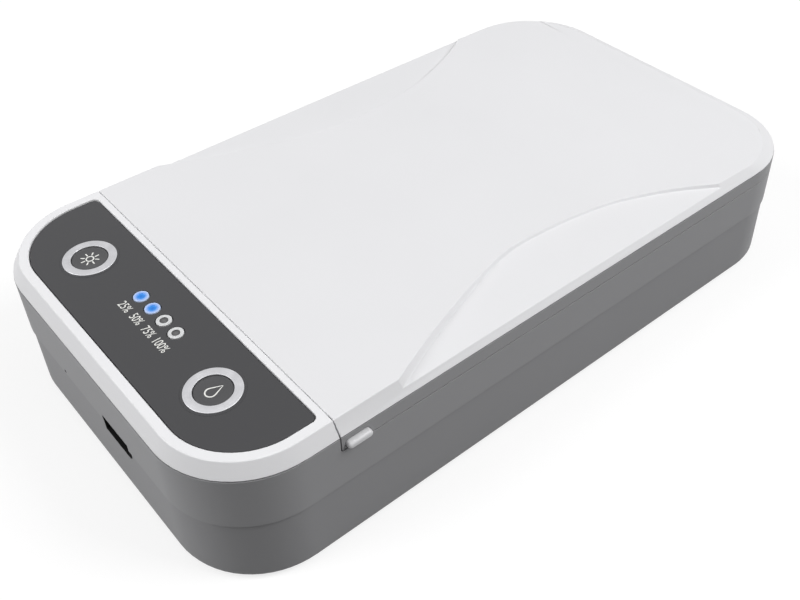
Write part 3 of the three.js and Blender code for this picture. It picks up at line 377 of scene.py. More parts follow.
MATERIALS = {
    "white_cover": moulded("white_cover", (230, 230, 232), 0.5, gloss=0.3),
    "white_deck": moulded("white_deck", (236, 236, 238), 0.5, gloss=0.3),
    # Painted shade, in part: the walls' grey stands for part of the side walls' shade below the white
    # top; the lamps shade the walls as well
    "grey_shell": moulded("grey_shell", (153, 153, 155), 0.58, grain=0.14, scale=4200, gloss=0.25),
    # Painted shade: a darker copy of the walls' grey for the lower shell, which makes the band below
    # the split darker than the one above
    "lower_shaded_grey": moulded("lower_shaded_grey", (146, 146, 148), 0.6, grain=0.14, scale=4200, gloss=0.25),
    "dark_panel": moulded("dark_panel", (61, 61, 63), 0.45, grain=0.03, gloss=0.35),
    "dark_cap": moulded("dark_cap", (64, 64, 66), 0.38),
    "silver_ring": spun_metal("silver_ring", (164, 164, 167), (214, 214, 217), 0.46),
    "lit_lens": lens("lit_lens", LIT_STOPS, LIT_GLOW),
    "clear_lens": lens("clear_lens", UNLIT_STOPS, 0),
    "catch_plastic": moulded("catch_plastic", (222, 222, 224), 0.4),
    "black_plastic": moulded("black_plastic", (28, 28, 30), 0.5, grain=0.08, scale=5000),
    # Painted shade: the near-black of the linings in the charging slot and pinhole
    "shade_black": moulded("shade_black", (12, 12, 13), 0.8, grain=0.08, scale=5000, gloss=0.15),
    "white_plastic": moulded("white_plastic", (236, 236, 232), 0.5, grain=0.04),
    "circuit_board": laminate("circuit_board", (26, 98, 54), (58, 140, 84)),
    "steel": moulded("steel", (184, 186, 189), 0.3, grain=0.05, scale=2500, metallic=1, mottle=0.05),
    "copper_winding": moulded("copper_winding", (184, 112, 56), 0.34, metallic=0.7, mottle=0.12),
    "ribbon_cable": moulded("ribbon_cable", (159, 166, 176), 0.6),
    "reflector": mirror_coat("reflector", (182, 185, 190)),
    "lamp_glass": clear_glass("lamp_glass", (226, 236, 243)),
    "felt": pressed_felt("felt", (230, 223, 207)),
    "rubber": moulded("rubber", (42, 42, 44), 0.85, grain=0.3, scale=3000),
}


# Outlines and solids
TINY = 1e-9
FILLET_STEPS = 6
SPIN_STEPS = 96
SHARP_ANGLE = math.radians(40)
AXES = {
    "X": Matrix.Rotation(math.radians(90), 4, "Y"),
    "Y": Matrix.Rotation(math.radians(-90), 4, "X"),
    "Z": Matrix.Identity(4),
}


def rounded(corners, closed=False):
    outline = []
    count = len(corners)
    for i, (x, y, radius) in enumerate(corners):
        if radius == 0 or (not closed and i in (0, count - 1)):
            outline.append((x, y))
            continue
        here = Vector((x, y))
        before = (Vector(corners[i - 1][:2]) - here).normalized()
        after = (Vector(corners[(i + 1) % count][:2]) - here).normalized()
        half = before.angle(after) / 2
        centre = here + (before + after).normalized() * (radius / math.sin(half))
        start = here + before * (radius / math.tan(half)) - centre
        end = here + after * (radius / math.tan(half)) - centre
        sweep = math.atan2(start.x * end.y - start.y * end.x, start.dot(end))
        for step in range(FILLET_STEPS + 1):
            turn = sweep * step / FILLET_STEPS
            outline.append((
                centre.x + start.x * math.cos(turn) - start.y * math.sin(turn),
                centre.y + start.x * math.sin(turn) + start.y * math.cos(turn),
            ))
    return outline


def mesh_from(name, bm, angle=SHARP_ANGLE):
    bmesh.ops.recalc_face_normals(bm, faces=bm.faces)
    mesh = bpy.data.meshes.new(name)
    bm.to_mesh(mesh)
    bm.free()
    mesh.shade_smooth()
    mesh.set_sharp_from_angle(angle=angle)
    return mesh


def bridge(bm, lower, upper):
    for i in range(max(len(lower), len(upper))):
        a = lower[i % len(lower)]
        b = lower[(i + 1) % len(lower)]
        c = upper[(i + 1) % len(upper)]
        d = upper[i % len(upper)]
        corners = list(dict.fromkeys((a, b, c, d)))
        if len(corners) > 2:
            bm.faces.new(corners)


def around(radius, steps):
    angles = [math.tau * i / steps for i in range(steps)]
    return [(radius * math.cos(angle), radius * math.sin(angle)) for angle in angles]


def spun(name, profile, steps=SPIN_STEPS):
    bm = bmesh.new()
    rings = []
    for radius, height in profile:
        if radius < TINY:
            rings.append([bm.verts.new((0, 0, height))])
            continue
        rings.append([bm.verts.new((x, y, height)) for x, y in around(radius, steps)])
    for lower, upper in zip(rings, rings[1:]):
        bridge(bm, lower, upper)
    if len(rings[0]) > 1:
        bridge(bm, rings[-1], rings[0])
    return mesh_from(name, bm)


def lofted(name, rings):
    bm = bmesh.new()
    loops = [[bm.verts.new(point) for point in ring] for ring in rings]
    for lower, upper in zip(loops, loops[1:]):
        bridge(bm, lower, upper)
    bm.faces.new(loops[0])
    bm.faces.new(loops[-1])
    return mesh_from(name, bm)


# Finishes of pieces that differ from their material slot's own, by node or by piece; the lower shell's
# darker grey and the black linings are painted shade
FINISH_OF = {
    "lower_shell": "lower_shaded_grey",
    "front_bezel": "white_deck",
    "seam_lip": "white_deck",
    "slot_painted_shade": "shade_black",
    "pinhole_painted_shade": "shade_black",
}


def finished(name, mesh, node, slot=None, stands_in=True, place=(0, 0, 0), axis="Z"):
    piece = bpy.data.objects.new(name, mesh)
    bpy.context.scene.collection.objects.link(piece)
    piece.matrix_world = Matrix.Translation(place) @ AXES[axis]
    slot = slot or SLOT_OF[node]
    mesh.materials.clear()
    mesh.materials.append(MATERIALS[FINISH_OF.get(node if stands_in else name, slot)])
    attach(piece, BODY_OF[node])
    if stands_in:
        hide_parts(node)
    return piece


def middle_of(node):
    low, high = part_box(node)
    return (low + high) / 2


def foot_of(node):
    middle = middle_of(node)
    return Vector((middle.x, middle.y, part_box(node)[0].z))


def height_of(node):
    low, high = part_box(node)
    return high.z - low.z


def turned(node, profile):
    finished(f"{node}_finish", spun(node, profile), node, place=foot_of(node))


# Moulded pieces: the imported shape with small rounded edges, narrower where there is little room
MERGE = 0.002 * MM
FLAT_ANGLE = math.radians(0.1)
EDGE_ANGLE = math.radians(15)
EDGE_SEGMENTS = 3
NORMAL_WEIGHT = 80
ROOM_SHARE = 0.4
USUAL_EDGE = 0.12 * MM
EDGE_ROUND = {
    "lid_cover": 0.22 * MM,
    "front_bezel": 0.25 * MM,
    "upper_shell": 0.1 * MM,
    "lower_shell": 0.15 * MM,
    "lid_skirt": 0.08 * MM,
    "control_panel": 0.08 * MM,
    "chamber_tray": 0.3 * MM,
    "lid_liner": 0.2 * MM,
    "scent_pad_cover": 0.15 * MM,
    "usb_socket": 0.08 * MM,
    "control_board": 0.05 * MM,
    "driver_board": 0.05 * MM,
}


def room_beside(edge):
    start = edge.verts[0].co
    along = edge.verts[1].co - start
    least = math.inf
    for face in edge.link_faces:
        for vertex in face.verts:
            if vertex in edge.verts:
                continue
            share = min(1, max(0, (vertex.co - start).dot(along) / along.length_squared))
            least = min(least, (vertex.co - start - along * share).length)
    return least


def softened(node, width):
    bm = bmesh.new()
    bm.from_mesh(frame["nodes"][node].data)
    bmesh.ops.remove_doubles(bm, verts=bm.verts, dist=MERGE)
    bmesh.ops.dissolve_limit(
        bm, angle_limit=FLAT_ANGLE, use_dissolve_boundaries=False, verts=bm.verts, edges=bm.edges
    )
    weight = bm.edges.layers.float.new("bevel_weight_edge")
    for edge in bm.edges:
        if len(edge.link_faces) == 2 and edge.calc_face_angle(0) > EDGE_ANGLE:
            edge[weight] = min(1, ROOM_SHARE * room_beside(edge) / width)
    mesh = bpy.data.meshes.new(f"{node}_finish")
    bm.to_mesh(mesh)
    bm.free()
    mesh.shade_smooth()
    draft = bpy.data.objects.new("draft", mesh)
    bpy.context.scene.collection.objects.link(draft)
    edges = draft.modifiers.new("round_edges", "BEVEL")
    edges.limit_method = "WEIGHT"
    edges.width = width
    edges.segments = EDGE_SEGMENTS
    edges.use_clamp_overlap = False
    edges.loop_slide = False
    graph = bpy.context.evaluated_depsgraph_get()
    result = bpy.data.meshes.new_from_object(draft.evaluated_get(graph))
    bpy.data.objects.remove(draft)
    low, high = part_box(node)
    for vertex in result.vertices:
        vertex.co = [min(high[k], max(low[k], vertex.co[k])) for k in range(3)]
    piece = finished(f"{node}_finish", result, node)
    normals = piece.modifiers.new("weighted_normals", "WEIGHTED_NORMAL")
    normals.weight = NORMAL_WEIGHT


# Control deck: rings, caps, lights and printed marks
RING_R = 7.3 * MM
RING_HOLE_R = 5.02 * MM
RING_OUTER_ROUND = 0.12 * MM
RING_INNER_ROUND = 0.08 * MM
SEAT_INNER_R = 7.32 * MM
SEAT_OUTER_R = 7.98 * MM
SEAT_DEPTH = 0.5 * MM
CAP_R = 4.9 * MM
CAP_ROUND = 0.3 * MM
CAP_FLANGE_R = 5.9 * MM
CAP_FLANGE_T = 0.7 * MM
CAP_FLANGE_ROUND = CAP_FLANGE_T / 4
DISH_R = 3.9 * MM
DISH_DEPTH = 0.22 * MM
DISH_RIM_R = DISH_R + DISH_DEPTH * 2
DISH_ROUND = 1.5 * MM
LIGHT_NUMBERS = (1, 2, 3, 4)
LIGHT_R = 2.05 * MM
LIGHT_EYE_R = 1.05 * MM
LIGHT_EYE_DEPTH = 0.15 * MM
LIGHT_ROUND = 0.06 * MM
INK_T = 0.03 * MM
MARK_STROKE = 0.36 * MM
STROKE_END_STEPS = 6
SUN_R = 1 * MM
SUN_RAY_START = 1.6 * MM
SUN_RAY_END = 2.5 * MM
SUN_RAYS = 8
SUN_STEPS = 40
DROP_R = 1.4 * MM
DROP_TIP = 2.7 * MM
DROP_CENTRE = -0.75 * MM
DROP_STEPS = 30
NUMERAL_FRONT = -93.15 * MM
NUMERAL_REAR = -90.65 * MM
NUMERAL_CURVE_STEPS = 4
NUMERAL_SPANS = {
    "25%": (-10.25 * MM, -6 * MM),
    "50%": (-4.1 * MM, 0.1 * MM),
    "75%": (2 * MM, 6.2 * MM),
    "100%": (7.9 * MM, 13.1 * MM),
}


# A silver ring, and the dark seat round it that is level with the panel
def button_ring(side):
    node = f"{side}_button_ring"
    height = height_of(node)
    turned(node, rounded([
        (RING_HOLE_R, 0, 0),
        (RING_R, 0, 0),
        (RING_R, height, RING_OUTER_ROUND),
        (RING_HOLE_R, height, RING_INNER_ROUND),
    ], closed=True))
    seat = [
        (SEAT_INNER_R, -SEAT_DEPTH), (SEAT_OUTER_R, -SEAT_DEPTH), (SEAT_OUTER_R, 0), (SEAT_INNER_R, 0),
    ]
    name = f"{side}_ring_seat"
    place = middle_of(node)
    place.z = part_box("control_panel")[1].z
    finished(name, spun(name, seat), "control_panel", None, False, place)


def button_cap(side):
    node = f"{side}_button_cap"
    height = height_of(node)
    turned(node, rounded([
        (0, 0, 0),
        (CAP_FLANGE_R, 0, CAP_FLANGE_ROUND),
        (CAP_FLANGE_R, CAP_FLANGE_T, CAP_FLANGE_ROUND),
        (CAP_R, CAP_FLANGE_T, 0),
        (CAP_R, height, CAP_ROUND),
        (DISH_RIM_R, height, CAP_ROUND),
        (DISH_R - DISH_ROUND, height - DISH_DEPTH, DISH_ROUND),
        (0, height - DISH_DEPTH, 0),
    ]))


def indicator_lens(number):
    node = f"indicator_lens_{number}"
    height = height_of(node)
    turned(node, rounded([
        (0, 0, 0),
        (LIGHT_R, 0, 0),
        (LIGHT_R, height, LIGHT_ROUND),
        (LIGHT_EYE_R, height, LIGHT_ROUND),
        (LIGHT_EYE_R, height - LIGHT_EYE_DEPTH, LIGHT_ROUND),
        (0, height - LIGHT_EYE_DEPTH, 0),
    ]))


def ink(bm, outline):
    bottom = [bm.verts.new((x, y, 0)) for x, y in outline]
    top = [bm.verts.new((x, y, INK_T)) for x, y in outline]
    bridge(bm, bottom, top)
    bm.faces.new(bottom)
    bm.faces.new(top)


def ink_band(bm, centre_line, width):
    count = len(centre_line)
    sides = []
    for i, point in enumerate(centre_line):
        along = (Vector(centre_line[(i + 1) % count]) - Vector(centre_line[i - 1])).normalized()
        across = Vector((-along.y, along.x)) * (width / 2)
        here = Vector(point)
        sides.append((here + across, here - across))
    levels = [
        [[bm.verts.new((*side[k], z)) for side in sides] for k in (0, 1)]
        for z in (0, INK_T)
    ]
    (outer_low, inner_low), (outer_high, inner_high) = levels
    loops = [outer_low, outer_high, inner_high, inner_low]
    for first, second in zip(loops, loops[1:] + loops[:1]):
        bridge(bm, first, second)


def ink_bar(bm, start, end, width):
    start, end = Vector(start), Vector(end)
    along = (end - start).normalized()
    heading = math.atan2(along.y, along.x)
    outline = []
    for centre, turn in ((end, -math.pi / 2), (start, math.pi / 2)):
        for step in range(STROKE_END_STEPS + 1):
            angle = heading + turn + math.pi * step / STROKE_END_STEPS
            outline.append((
                centre.x + width / 2 * math.cos(angle), centre.y + width / 2 * math.sin(angle)
            ))
    ink(bm, outline)


def sun_mark(bm):
    ink_band(bm, around(SUN_R, SUN_STEPS), MARK_STROKE)
    for heading in around(1, SUN_RAYS):
        ray = Vector(heading)
        ink_bar(bm, ray * SUN_RAY_START, ray * SUN_RAY_END, MARK_STROKE)


def drop_mark(bm):
    reach = DROP_TIP - DROP_CENTRE
    lean = math.asin(DROP_R / reach)
    outline = [(0, DROP_TIP)]
    for i in range(DROP_STEPS + 1):
        angle = math.pi - lean + (math.pi + 2 * lean) * i / DROP_STEPS
        outline.append((DROP_R * math.cos(angle), DROP_CENTRE + DROP_R * math.sin(angle)))
    ink_band(bm, outline, MARK_STROKE)


def button_mark(side, draw):
    node = f"{side}_button_cap"
    name = f"{side}_button_mark"
    bm = bmesh.new()
    draw(bm)
    place = middle_of(node)
    place.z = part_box(node)[1].z - DISH_DEPTH
    finished(name, mesh_from(name, bm), node, "white_plastic", False, place)


def numeral(text, span):
    data = bpy.data.curves.new(f"numeral_{text}", "FONT")
    data.body = text
    data.extrude = INK_T / 2
    data.resolution_u = NUMERAL_CURVE_STEPS
    draft = bpy.data.objects.new(f"draft_{text}", data)
    bpy.context.scene.collection.objects.link(draft)
    bpy.context.view_layer.update()
    mesh = bpy.data.meshes.new_from_object(draft)
    bpy.data.objects.remove(draft)
    low = [min(v.co[k] for v in mesh.vertices) for k in range(3)]
    high = [max(v.co[k] for v in mesh.vertices) for k in range(3)]
    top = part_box("control_panel")[1].z
    want = [span, (NUMERAL_FRONT, NUMERAL_REAR), (top, top + INK_T)]
    for vertex in mesh.vertices:
        for k, (start, end) in enumerate(want):
            vertex.co[k] = start + (vertex.co[k] - low[k]) / (high[k] - low[k]) * (end - start)
    bm = bmesh.new()
    bm.from_mesh(mesh)
    bmesh.ops.remove_doubles(bm, verts=bm.verts, dist=MERGE)
    name = f"numeral_{text.rstrip('%')}"
    finished(name, mesh_from(name, bm), "control_panel", "white_plastic", False)


def control_deck():
    for side in SIDES:
        button_ring(side)
        button_cap(side)
    button_mark("left", sun_mark)
    button_mark("right", drop_mark)
    for number in LIGHT_NUMBERS:
        indicator_lens(number)
    for text, span in NUMERAL_SPANS.items():
        numeral(text, span)


# A white lip on the base that narrows the seam in front of the lid
LIP_HALF_WIDTH = 56.5 * MM
LIP_FRONT = -74.34 * MM
LIP_REAR = -74.17 * MM
LIP_BOTTOM = 41.2 * MM
LIP_TOP = 42.55 * MM
LIP_ROUND = 0.05 * MM


def seam_lip():
    outline = rounded([
        (LIP_FRONT, LIP_BOTTOM, 0),
        (LIP_REAR, LIP_BOTTOM, LIP_ROUND),
        (LIP_REAR, LIP_TOP, LIP_ROUND),
        (LIP_FRONT, LIP_TOP, 0),
    ], closed=True)
    rings = [[(x, y, z) for y, z in outline] for x in (-LIP_HALF_WIDTH, LIP_HALF_WIDTH)]
    finished("seam_lip", lofted("seam_lip", rings), "front_bezel", None, False)


# Painted shade: black linings in the front wall's charging slot and pinhole stand for the shade
# inside them. The slot's lining is open at the socket's mouth
CORNER_SIGNS = ((-1, -1), (1, -1), (1, 1), (-1, 1))
SLOT_MIDDLE = Vector((10.7, 0, 21.25)) * MM
SLOT_HALF = (6.66 * MM, 2.66 * MM)
SHADE_LINING_HALF = (6.4 * MM, 2.4 * MM)
MOUTH_HALF = (3.4 * MM, 0.95 * MM)
SLOT_ROUND = 0.3 * MM
SHADE_LINING_FRONT = -108.9 * MM
SHADE_LINING_BACK = -104.65 * MM
SHADE_LINING_PLATE = -107.9 * MM
PINHOLE_MIDDLE = Vector((-17.4, -108.97, 22.85)) * MM
PINHOLE_R = 0.49 * MM
PINHOLE_BORE_R = 0.33 * MM
PINHOLE_DEPTH = 1.2 * MM
PINHOLE_END = 0.3 * MM
PINHOLE_STEPS = 24


def slot_painted_shade():
    bm = bmesh.new()
    levels = (
        (SLOT_HALF, SHADE_LINING_FRONT), (SLOT_HALF, SHADE_LINING_BACK), (MOUTH_HALF, SHADE_LINING_BACK),
        (MOUTH_HALF, SHADE_LINING_PLATE), (SHADE_LINING_HALF, SHADE_LINING_PLATE), (SHADE_LINING_HALF, SHADE_LINING_FRONT),
    )
    rings = []
    for (half_x, half_z), y in levels:
        corners = [(x_sign * half_x, z_sign * half_z, SLOT_ROUND) for x_sign, z_sign in CORNER_SIGNS]
        outline = rounded(corners, closed=True)
        rings.append([bm.verts.new((SLOT_MIDDLE.x + x, y, SLOT_MIDDLE.z + z)) for x, z in outline])
    for first, second in zip(rings, rings[1:] + rings[:1]):
        bridge(bm, first, second)
    finished("slot_painted_shade", mesh_from("slot_painted_shade", bm), "lower_shell", "black_plastic", False)


def pinhole_painted_shade():
    profile = [
        (PINHOLE_R, 0),
        (PINHOLE_R, PINHOLE_DEPTH + PINHOLE_END),
        (0, PINHOLE_DEPTH + PINHOLE_END),
        (0, PINHOLE_DEPTH),
        (PINHOLE_BORE_R, PINHOLE_DEPTH),
        (PINHOLE_BORE_R, 0),
    ]
    mesh = spun("pinhole_painted_shade", profile, PINHOLE_STEPS)
    finished("pinhole_painted_shade", mesh, "upper_shell", "black_plastic", False, PINHOLE_MIDDLE, "Y")


# Finger catches: pills with a rounded outer edge
CATCH_ROUND = 0.75 * MM
CATCH_ARC_STEPS = 14


def pill(y0, y1, middle, half, x):
    ring = []
    for centre, start in ((y1, -math.pi / 2), (y0, math.pi / 2)):
        for step in range(CATCH_ARC_STEPS + 1):
            angle = start + math.pi * step / CATCH_ARC_STEPS
            ring.append((x, centre + half * math.cos(angle), middle + half * math.sin(angle)))
    return ring


def finger_catch(side):
    node = f"finger_catch_{side}"
    low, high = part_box(node)
    half = (high.z - low.z) / 2
    inner, outer = (high.x, low.x) if side == "left" else (low.x, high.x)
    out = 1 if outer > inner else -1
    y0, y1, middle = low.y + half, high.y - half, (low.z + high.z) / 2
    rings = [pill(y0, y1, middle, half, inner)]
    for step in range(FILLET_STEPS + 1):
        angle = math.pi / 2 * step / FILLET_STEPS
        shrink = CATCH_ROUND * (1 - math.cos(angle))
        x = outer - out * CATCH_ROUND * (1 - math.sin(angle))
        rings.append(pill(y0, y1, middle, half - shrink, x))
    finished(f"{node}_finish", lofted(node, rings), node)


# Lamps: a hollow quartz tube with a metal cup in each end
LAMP_WALL = 0.5 * MM
LAMP_END_ROUND = 1.2 * MM
LAMP_STEPS = 48
ELECTRODE_R = 1.1 * MM
ELECTRODE_L = 9 * MM
ELECTRODE_GAP = 1.4 * MM
ELECTRODE_WALL = 0.2 * MM
ELECTRODE_STEPS = 32


def lamp(node):
    low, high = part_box(node)
    middle = middle_of(node)
    half = (high.y - low.y) / 2
    radius = (high.z - low.z) / 2
    bore = radius - LAMP_WALL
    outside = rounded([
        (0, -half, 0),
        (radius, -half, LAMP_END_ROUND),
        (radius, half, LAMP_END_ROUND),
        (0, half, 0),
    ])
    inside = rounded([
        (0, half - LAMP_WALL, 0),
        (bore, half - LAMP_WALL, LAMP_END_ROUND - LAMP_WALL),
        (bore, LAMP_WALL - half, LAMP_END_ROUND - LAMP_WALL),
        (0, LAMP_WALL - half, 0),
    ])
    bm = bmesh.new()
    for profile in (outside, inside):
        bm.from_mesh(spun(node, profile, LAMP_STEPS))
    bmesh.ops.recalc_face_normals(bm, faces=bm.faces)
    mesh = bpy.data.meshes.new(node)
    bm.to_mesh(mesh)
    bm.free()
    mesh.shade_smooth()
    finished(f"{node}_tube", mesh, node, place=middle, axis="Y")
    cup = rounded([
        (0, 0, 0),
        (ELECTRODE_R, 0, ELECTRODE_WALL),
        (ELECTRODE_R, ELECTRODE_L, 0),
        (ELECTRODE_R - ELECTRODE_WALL, ELECTRODE_L, 0),
        (ELECTRODE_R - ELECTRODE_WALL, ELECTRODE_WALL, 0),
        (0, ELECTRODE_WALL, 0),
    ])
    for end, sign in (("front", 1), ("rear", -1)):
        profile = [(r, sign * (LAMP_WALL + ELECTRODE_GAP + z - half)) for r, z in cup]
        mesh = spun(f"{node}_electrode", profile, ELECTRODE_STEPS)
        finished(f"{node}_electrode_{end}", mesh, node, "steel", False, middle, "Y")


# Screws: a rounded head with a cross recess, a shank with thread ridges and a point
HEAD_ROUND_SHARE = 0.45
RECESS_SPAN_SHARE = 1.15
RECESS_WIDTH_SHARE = 0.34
RECESS_DEPTH_SHARE = 0.55
RECESS_TAPER_SHARE = 0.55
THREAD_PITCH = 0.8 * MM
THREAD_DEPTH = 0.15 * MM
SCREW_STEPS = 48

# For each kind: radius of the shank, radius of the head, height of the head, and the places
SCREWS = {
    "case_screw": (1.2 * MM, 2.5 * MM, 1.8 * MM, CORNERS),
    "lid_screw": (1 * MM, 2 * MM, 1.2 * MM, CORNERS),
    "board_screw": (1 * MM, 2 * MM, 1.2 * MM, SIDES),
}


def cross_recess(span, width, depth):
    half, arm = span / 2, width / 2
    plus = [
        (half, -arm), (half, arm), (arm, arm), (arm, half), (-arm, half), (-arm, arm),
        (-half, arm), (-half, -arm), (-arm, -arm), (-arm, -half), (arm, -half), (arm, -arm),
    ]
    rings = [
        [(x, y, -depth) for x, y in plus],
        [(x * RECESS_TAPER_SHARE, y * RECESS_TAPER_SHARE, depth) for x, y in plus],
    ]
    return lofted("recess", rings)


def without(mesh, cutter):
    body = bpy.data.objects.new("body", mesh)
    tool = bpy.data.objects.new("tool", cutter)
    for draft in (body, tool):
        bpy.context.scene.collection.objects.link(draft)
    step = body.modifiers.new("cut", "BOOLEAN")
    step.operation = "DIFFERENCE"
    step.solver = "EXACT"
    step.object = tool
    graph = bpy.context.evaluated_depsgraph_get()
    result = bpy.data.meshes.new_from_object(body.evaluated_get(graph))
    for draft in (body, tool):
        bpy.data.objects.remove(draft)
    return result


def screw(node, shank, head, head_height):
    length = height_of(node)
    corners = [
        (0, 0, 0),
        (head, 0, head_height * HEAD_ROUND_SHARE),
        (head, head_height, 0),
        (shank - THREAD_DEPTH, head_height, 0),
    ]
    height = head_height + THREAD_PITCH / 2
    while height < length - shank - THREAD_PITCH:
        corners.append((shank - THREAD_DEPTH, height, 0))
        corners.append((shank, height + THREAD_PITCH / 2, 0))
        height += THREAD_PITCH
    corners += [(shank - THREAD_DEPTH, length - shank, 0), (0, length, 0)]
    body = spun(node, rounded(corners), SCREW_STEPS)
    depth = head_height * RECESS_DEPTH_SHARE
    recess = cross_recess(head * RECESS_SPAN_SHARE, head * RECESS_WIDTH_SHARE, depth)
    mesh = without(body, recess)
    mesh.shade_smooth()
    mesh.set_sharp_from_angle(angle=SHARP_ANGLE)
    finished(f"{node}_finish", mesh, node, place=foot_of(node))


def screws():
    for kind, (shank, head, head_height, places) in SCREWS.items():
        for place in places:
            screw(f"{kind}_{place}", shank, head, head_height)


# Feet, hinge pin and magnet
FOOT_ROUND = 0.35 * MM
FOOT_GROOVE_SHARES = (0.72, 0.8)
FOOT_GROOVE_DEPTH = 0.25 * MM
FOOT_GROOVE_ROUND = 0.05 * MM
PIN_ROUND = 0.3 * MM
MAGNET_ROUND = 0.2 * MM


def foot(node):
    low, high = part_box(node)
    height = high.z - low.z
    radius = (high.x - low.x) / 2
    inner, outer = (share * radius for share in FOOT_GROOVE_SHARES)
    turned(node, rounded([
        (0, 0, 0),
        (inner, 0, FOOT_GROOVE_ROUND),
        (inner, FOOT_GROOVE_DEPTH, FOOT_GROOVE_ROUND),
        (outer, FOOT_GROOVE_DEPTH, FOOT_GROOVE_ROUND),
        (outer, 0, FOOT_GROOVE_ROUND),
        (radius, 0, FOOT_ROUND),
        (radius, height, 0),
        (0, height, 0),
    ]))


def round_bar(node, axis, edge):
    low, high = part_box(node)
    size = high - low
    length = size["XYZ".index(axis)]
    radius = (size.z if axis != "Z" else size.x) / 2
    profile = rounded([
        (0, -length / 2, 0),
        (radius, -length / 2, edge),
        (radius, length / 2, edge),
        (0, length / 2, 0),
    ])
    finished(f"{node}_finish", spun(node, profile), node, place=middle_of(node), axis=axis)


# Scent pad: a soft block of pressed felt with an uneven surface
PAD_LONGEST_EDGE = 1.2 * MM
PAD_ROUND = 0.8 * MM
PAD_ROUND_STEPS = 3
PAD_ROUND_PROFILE = 0.5
PAD_UNEVEN = 0.12 * MM
PAD_NOISE_SCALE = 700


def long_edges(bm):
    return [edge for edge in bm.edges if edge.calc_length() > PAD_LONGEST_EDGE]


def scent_pad():
    node = "scent_pad"
    low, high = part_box(node)
    bm = bmesh.new()
    bmesh.ops.create_cube(bm, size=1)
    bmesh.ops.scale(bm, vec=high - low, verts=bm.verts)
    bmesh.ops.bevel(
        bm, geom=bm.edges[:], offset=PAD_ROUND, offset_type="OFFSET", segments=PAD_ROUND_STEPS,
        profile=PAD_ROUND_PROFILE, affect="EDGES", clamp_overlap=True,
    )
    while long_edges(bm):
        bmesh.ops.subdivide_edges(bm, edges=long_edges(bm), cuts=1, use_grid_fill=True)
    bmesh.ops.recalc_face_normals(bm, faces=bm.faces)
    bm.normal_update()
    for vertex in bm.verts:
        lift = noise.noise(vertex.co * PAD_NOISE_SCALE) - 1
        vertex.co += vertex.normal * (PAD_UNEVEN * lift / 2)
    finished(f"{node}_finish", mesh_from(node, bm, math.pi), node, place=middle_of(node))


# The nodes that a piece of their own stands in for. All others are moulded pieces
DETAILED = (
    [f"{side}_button_ring" for side in SIDES]
    + [f"{side}_button_cap" for side in SIDES]
    + [f"indicator_lens_{number}" for number in LIGHT_NUMBERS]
    + [f"finger_catch_{side}" for side in SIDES]
    + [f"{kind}_{place}" for kind, row in SCREWS.items() for place in row[-1]]
    + [f"rubber_foot_{corner}" for corner in CORNERS]
    + ["lower_lamp", "upper_lamp", "hinge_pin", "lid_magnet", "scent_pad"]
)


def make_pieces():
    for node in SLOT_OF:
        if node not in DETAILED:
            softened(node, EDGE_ROUND.get(node, USUAL_EDGE))
    control_deck()
    seam_lip()
    slot_painted_shade()
    pinhole_painted_shade()
    for side in SIDES:
        finger_catch(side)
    for node in ("lower_lamp", "upper_lamp"):
        lamp(node)
    screws()
    for corner in CORNERS:
        foot(f"rubber_foot_{corner}")
    round_bar("hinge_pin", "X", PIN_ROUND)
    round_bar("lid_magnet", "Z", MAGNET_ROUND)
    scent_pad()


# Floor, background and lights. Seen directly or in metal and glass, the floor glows, and from
# FLOOR_GLOW_FAR on it is as white as the background
FLOOR_SIZE = 6
FLOOR_SHADE = 0.3
FLOOR_GLOW = 0.75
FLOOR_GLOW_NEAR = 0.35
FLOOR_GLOW_FAR = 1.1
WORLD_LIGHT = 0.05

# Place, size and power of each light, all turned to the middle of the box
LIGHTS = {
    "top_light": ((0, 0.1, 1.6), 1.4, 5),
    "left_light": ((-0.48, -1.05, 0.87), 0.9, 12.4),
    "right_light": ((0.76, 0.73, 1), 0.9, 15),
}


def seen_directly(nodes, links):
    rays = nodes.new("ShaderNodeLightPath").outputs
    first = combined(nodes, links, "MAXIMUM", rays["Is Camera Ray"], rays["Is Glossy Ray"])
    return combined(nodes, links, "MAXIMUM", first, rays["Is Transmission Ray"])


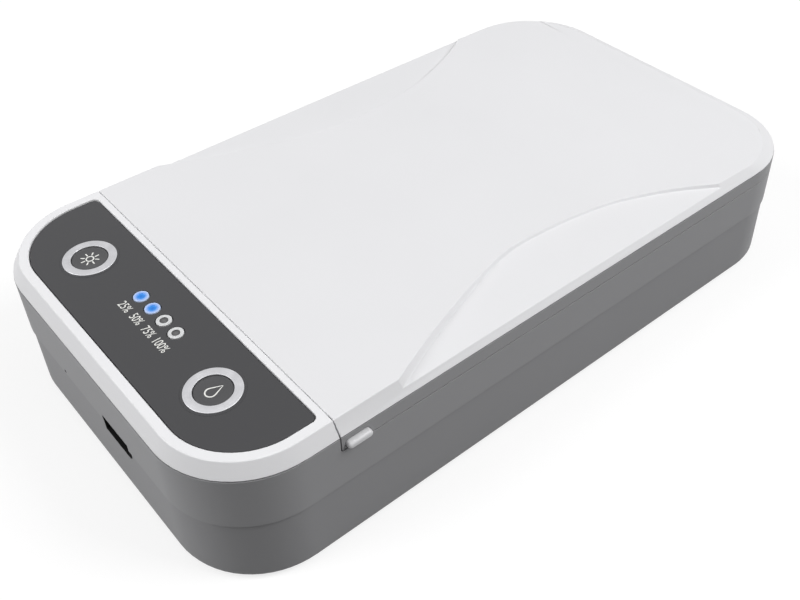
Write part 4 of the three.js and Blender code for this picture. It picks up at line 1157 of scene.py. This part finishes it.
def make_floor():
    mesh = bpy.data.meshes.new("floor")
    half = FLOOR_SIZE / 2
    mesh.from_pydata([(x * half, y * half, 0) for x, y in CORNER_SIGNS], [], [(0, 1, 2, 3)])
    floor = bpy.data.objects.new("floor", mesh)
    bpy.context.scene.collection.objects.link(floor)
    material, nodes, links = new_material("floor")
    shader = nodes["Principled BSDF"]
    shader.inputs["Base Color"].default_value = (FLOOR_SHADE, FLOOR_SHADE, FLOOR_SHADE, 1)
    shader.inputs["Roughness"].default_value = 1
    shader.inputs["Specular IOR Level"].default_value = 0
    shader.inputs["Emission Color"].default_value = (1, 1, 1, 1)
    level = nodes.new("ShaderNodeMapRange")
    level.inputs["From Min"].default_value = FLOOR_GLOW_NEAR
    level.inputs["From Max"].default_value = FLOOR_GLOW_FAR
    level.inputs["To Min"].default_value = FLOOR_GLOW
    level.inputs["To Max"].default_value = 1
    links.new(distance_from_axis(nodes, links, object_place(nodes), 1), level.inputs["Value"])
    glow = combined(nodes, links, "MULTIPLY", seen_directly(nodes, links), level.outputs["Result"])
    links.new(glow, shader.inputs["Emission Strength"])
    mesh.materials.append(material)


def make_world():
    world = bpy.data.worlds.new("world")
    bpy.context.scene.world = world
    world.use_nodes = True
    nodes, links = world.node_tree.nodes, world.node_tree.links
    background = nodes["Background"]
    background.inputs["Color"].default_value = (1, 1, 1, 1)
    strength = nodes.new("ShaderNodeMapRange")
    strength.inputs["To Min"].default_value = WORLD_LIGHT
    strength.inputs["To Max"].default_value = 1
    links.new(seen_directly(nodes, links), strength.inputs["Value"])
    links.new(strength.outputs["Result"], background.inputs["Strength"])


def area_light(name, place, size, power):
    data = bpy.data.lights.new(name, "AREA")
    data.shape = "DISK"
    data.size = size
    data.energy = power
    light = bpy.data.objects.new(name, data)
    bpy.context.scene.collection.objects.link(light)
    light.location = place
    light.rotation_mode = "QUATERNION"
    light.rotation_quaternion = (Vector((0, 0, 0)) - Vector(place)).to_track_quat("-Z", "Y")


def make_lights():
    for name, (place, size, power) in LIGHTS.items():
        area_light(name, place, size, power)


make_camera()
make_floor()
make_world()
make_lights()
make_pieces()

bpy.context.scene.view_settings.view_transform = "Standard"
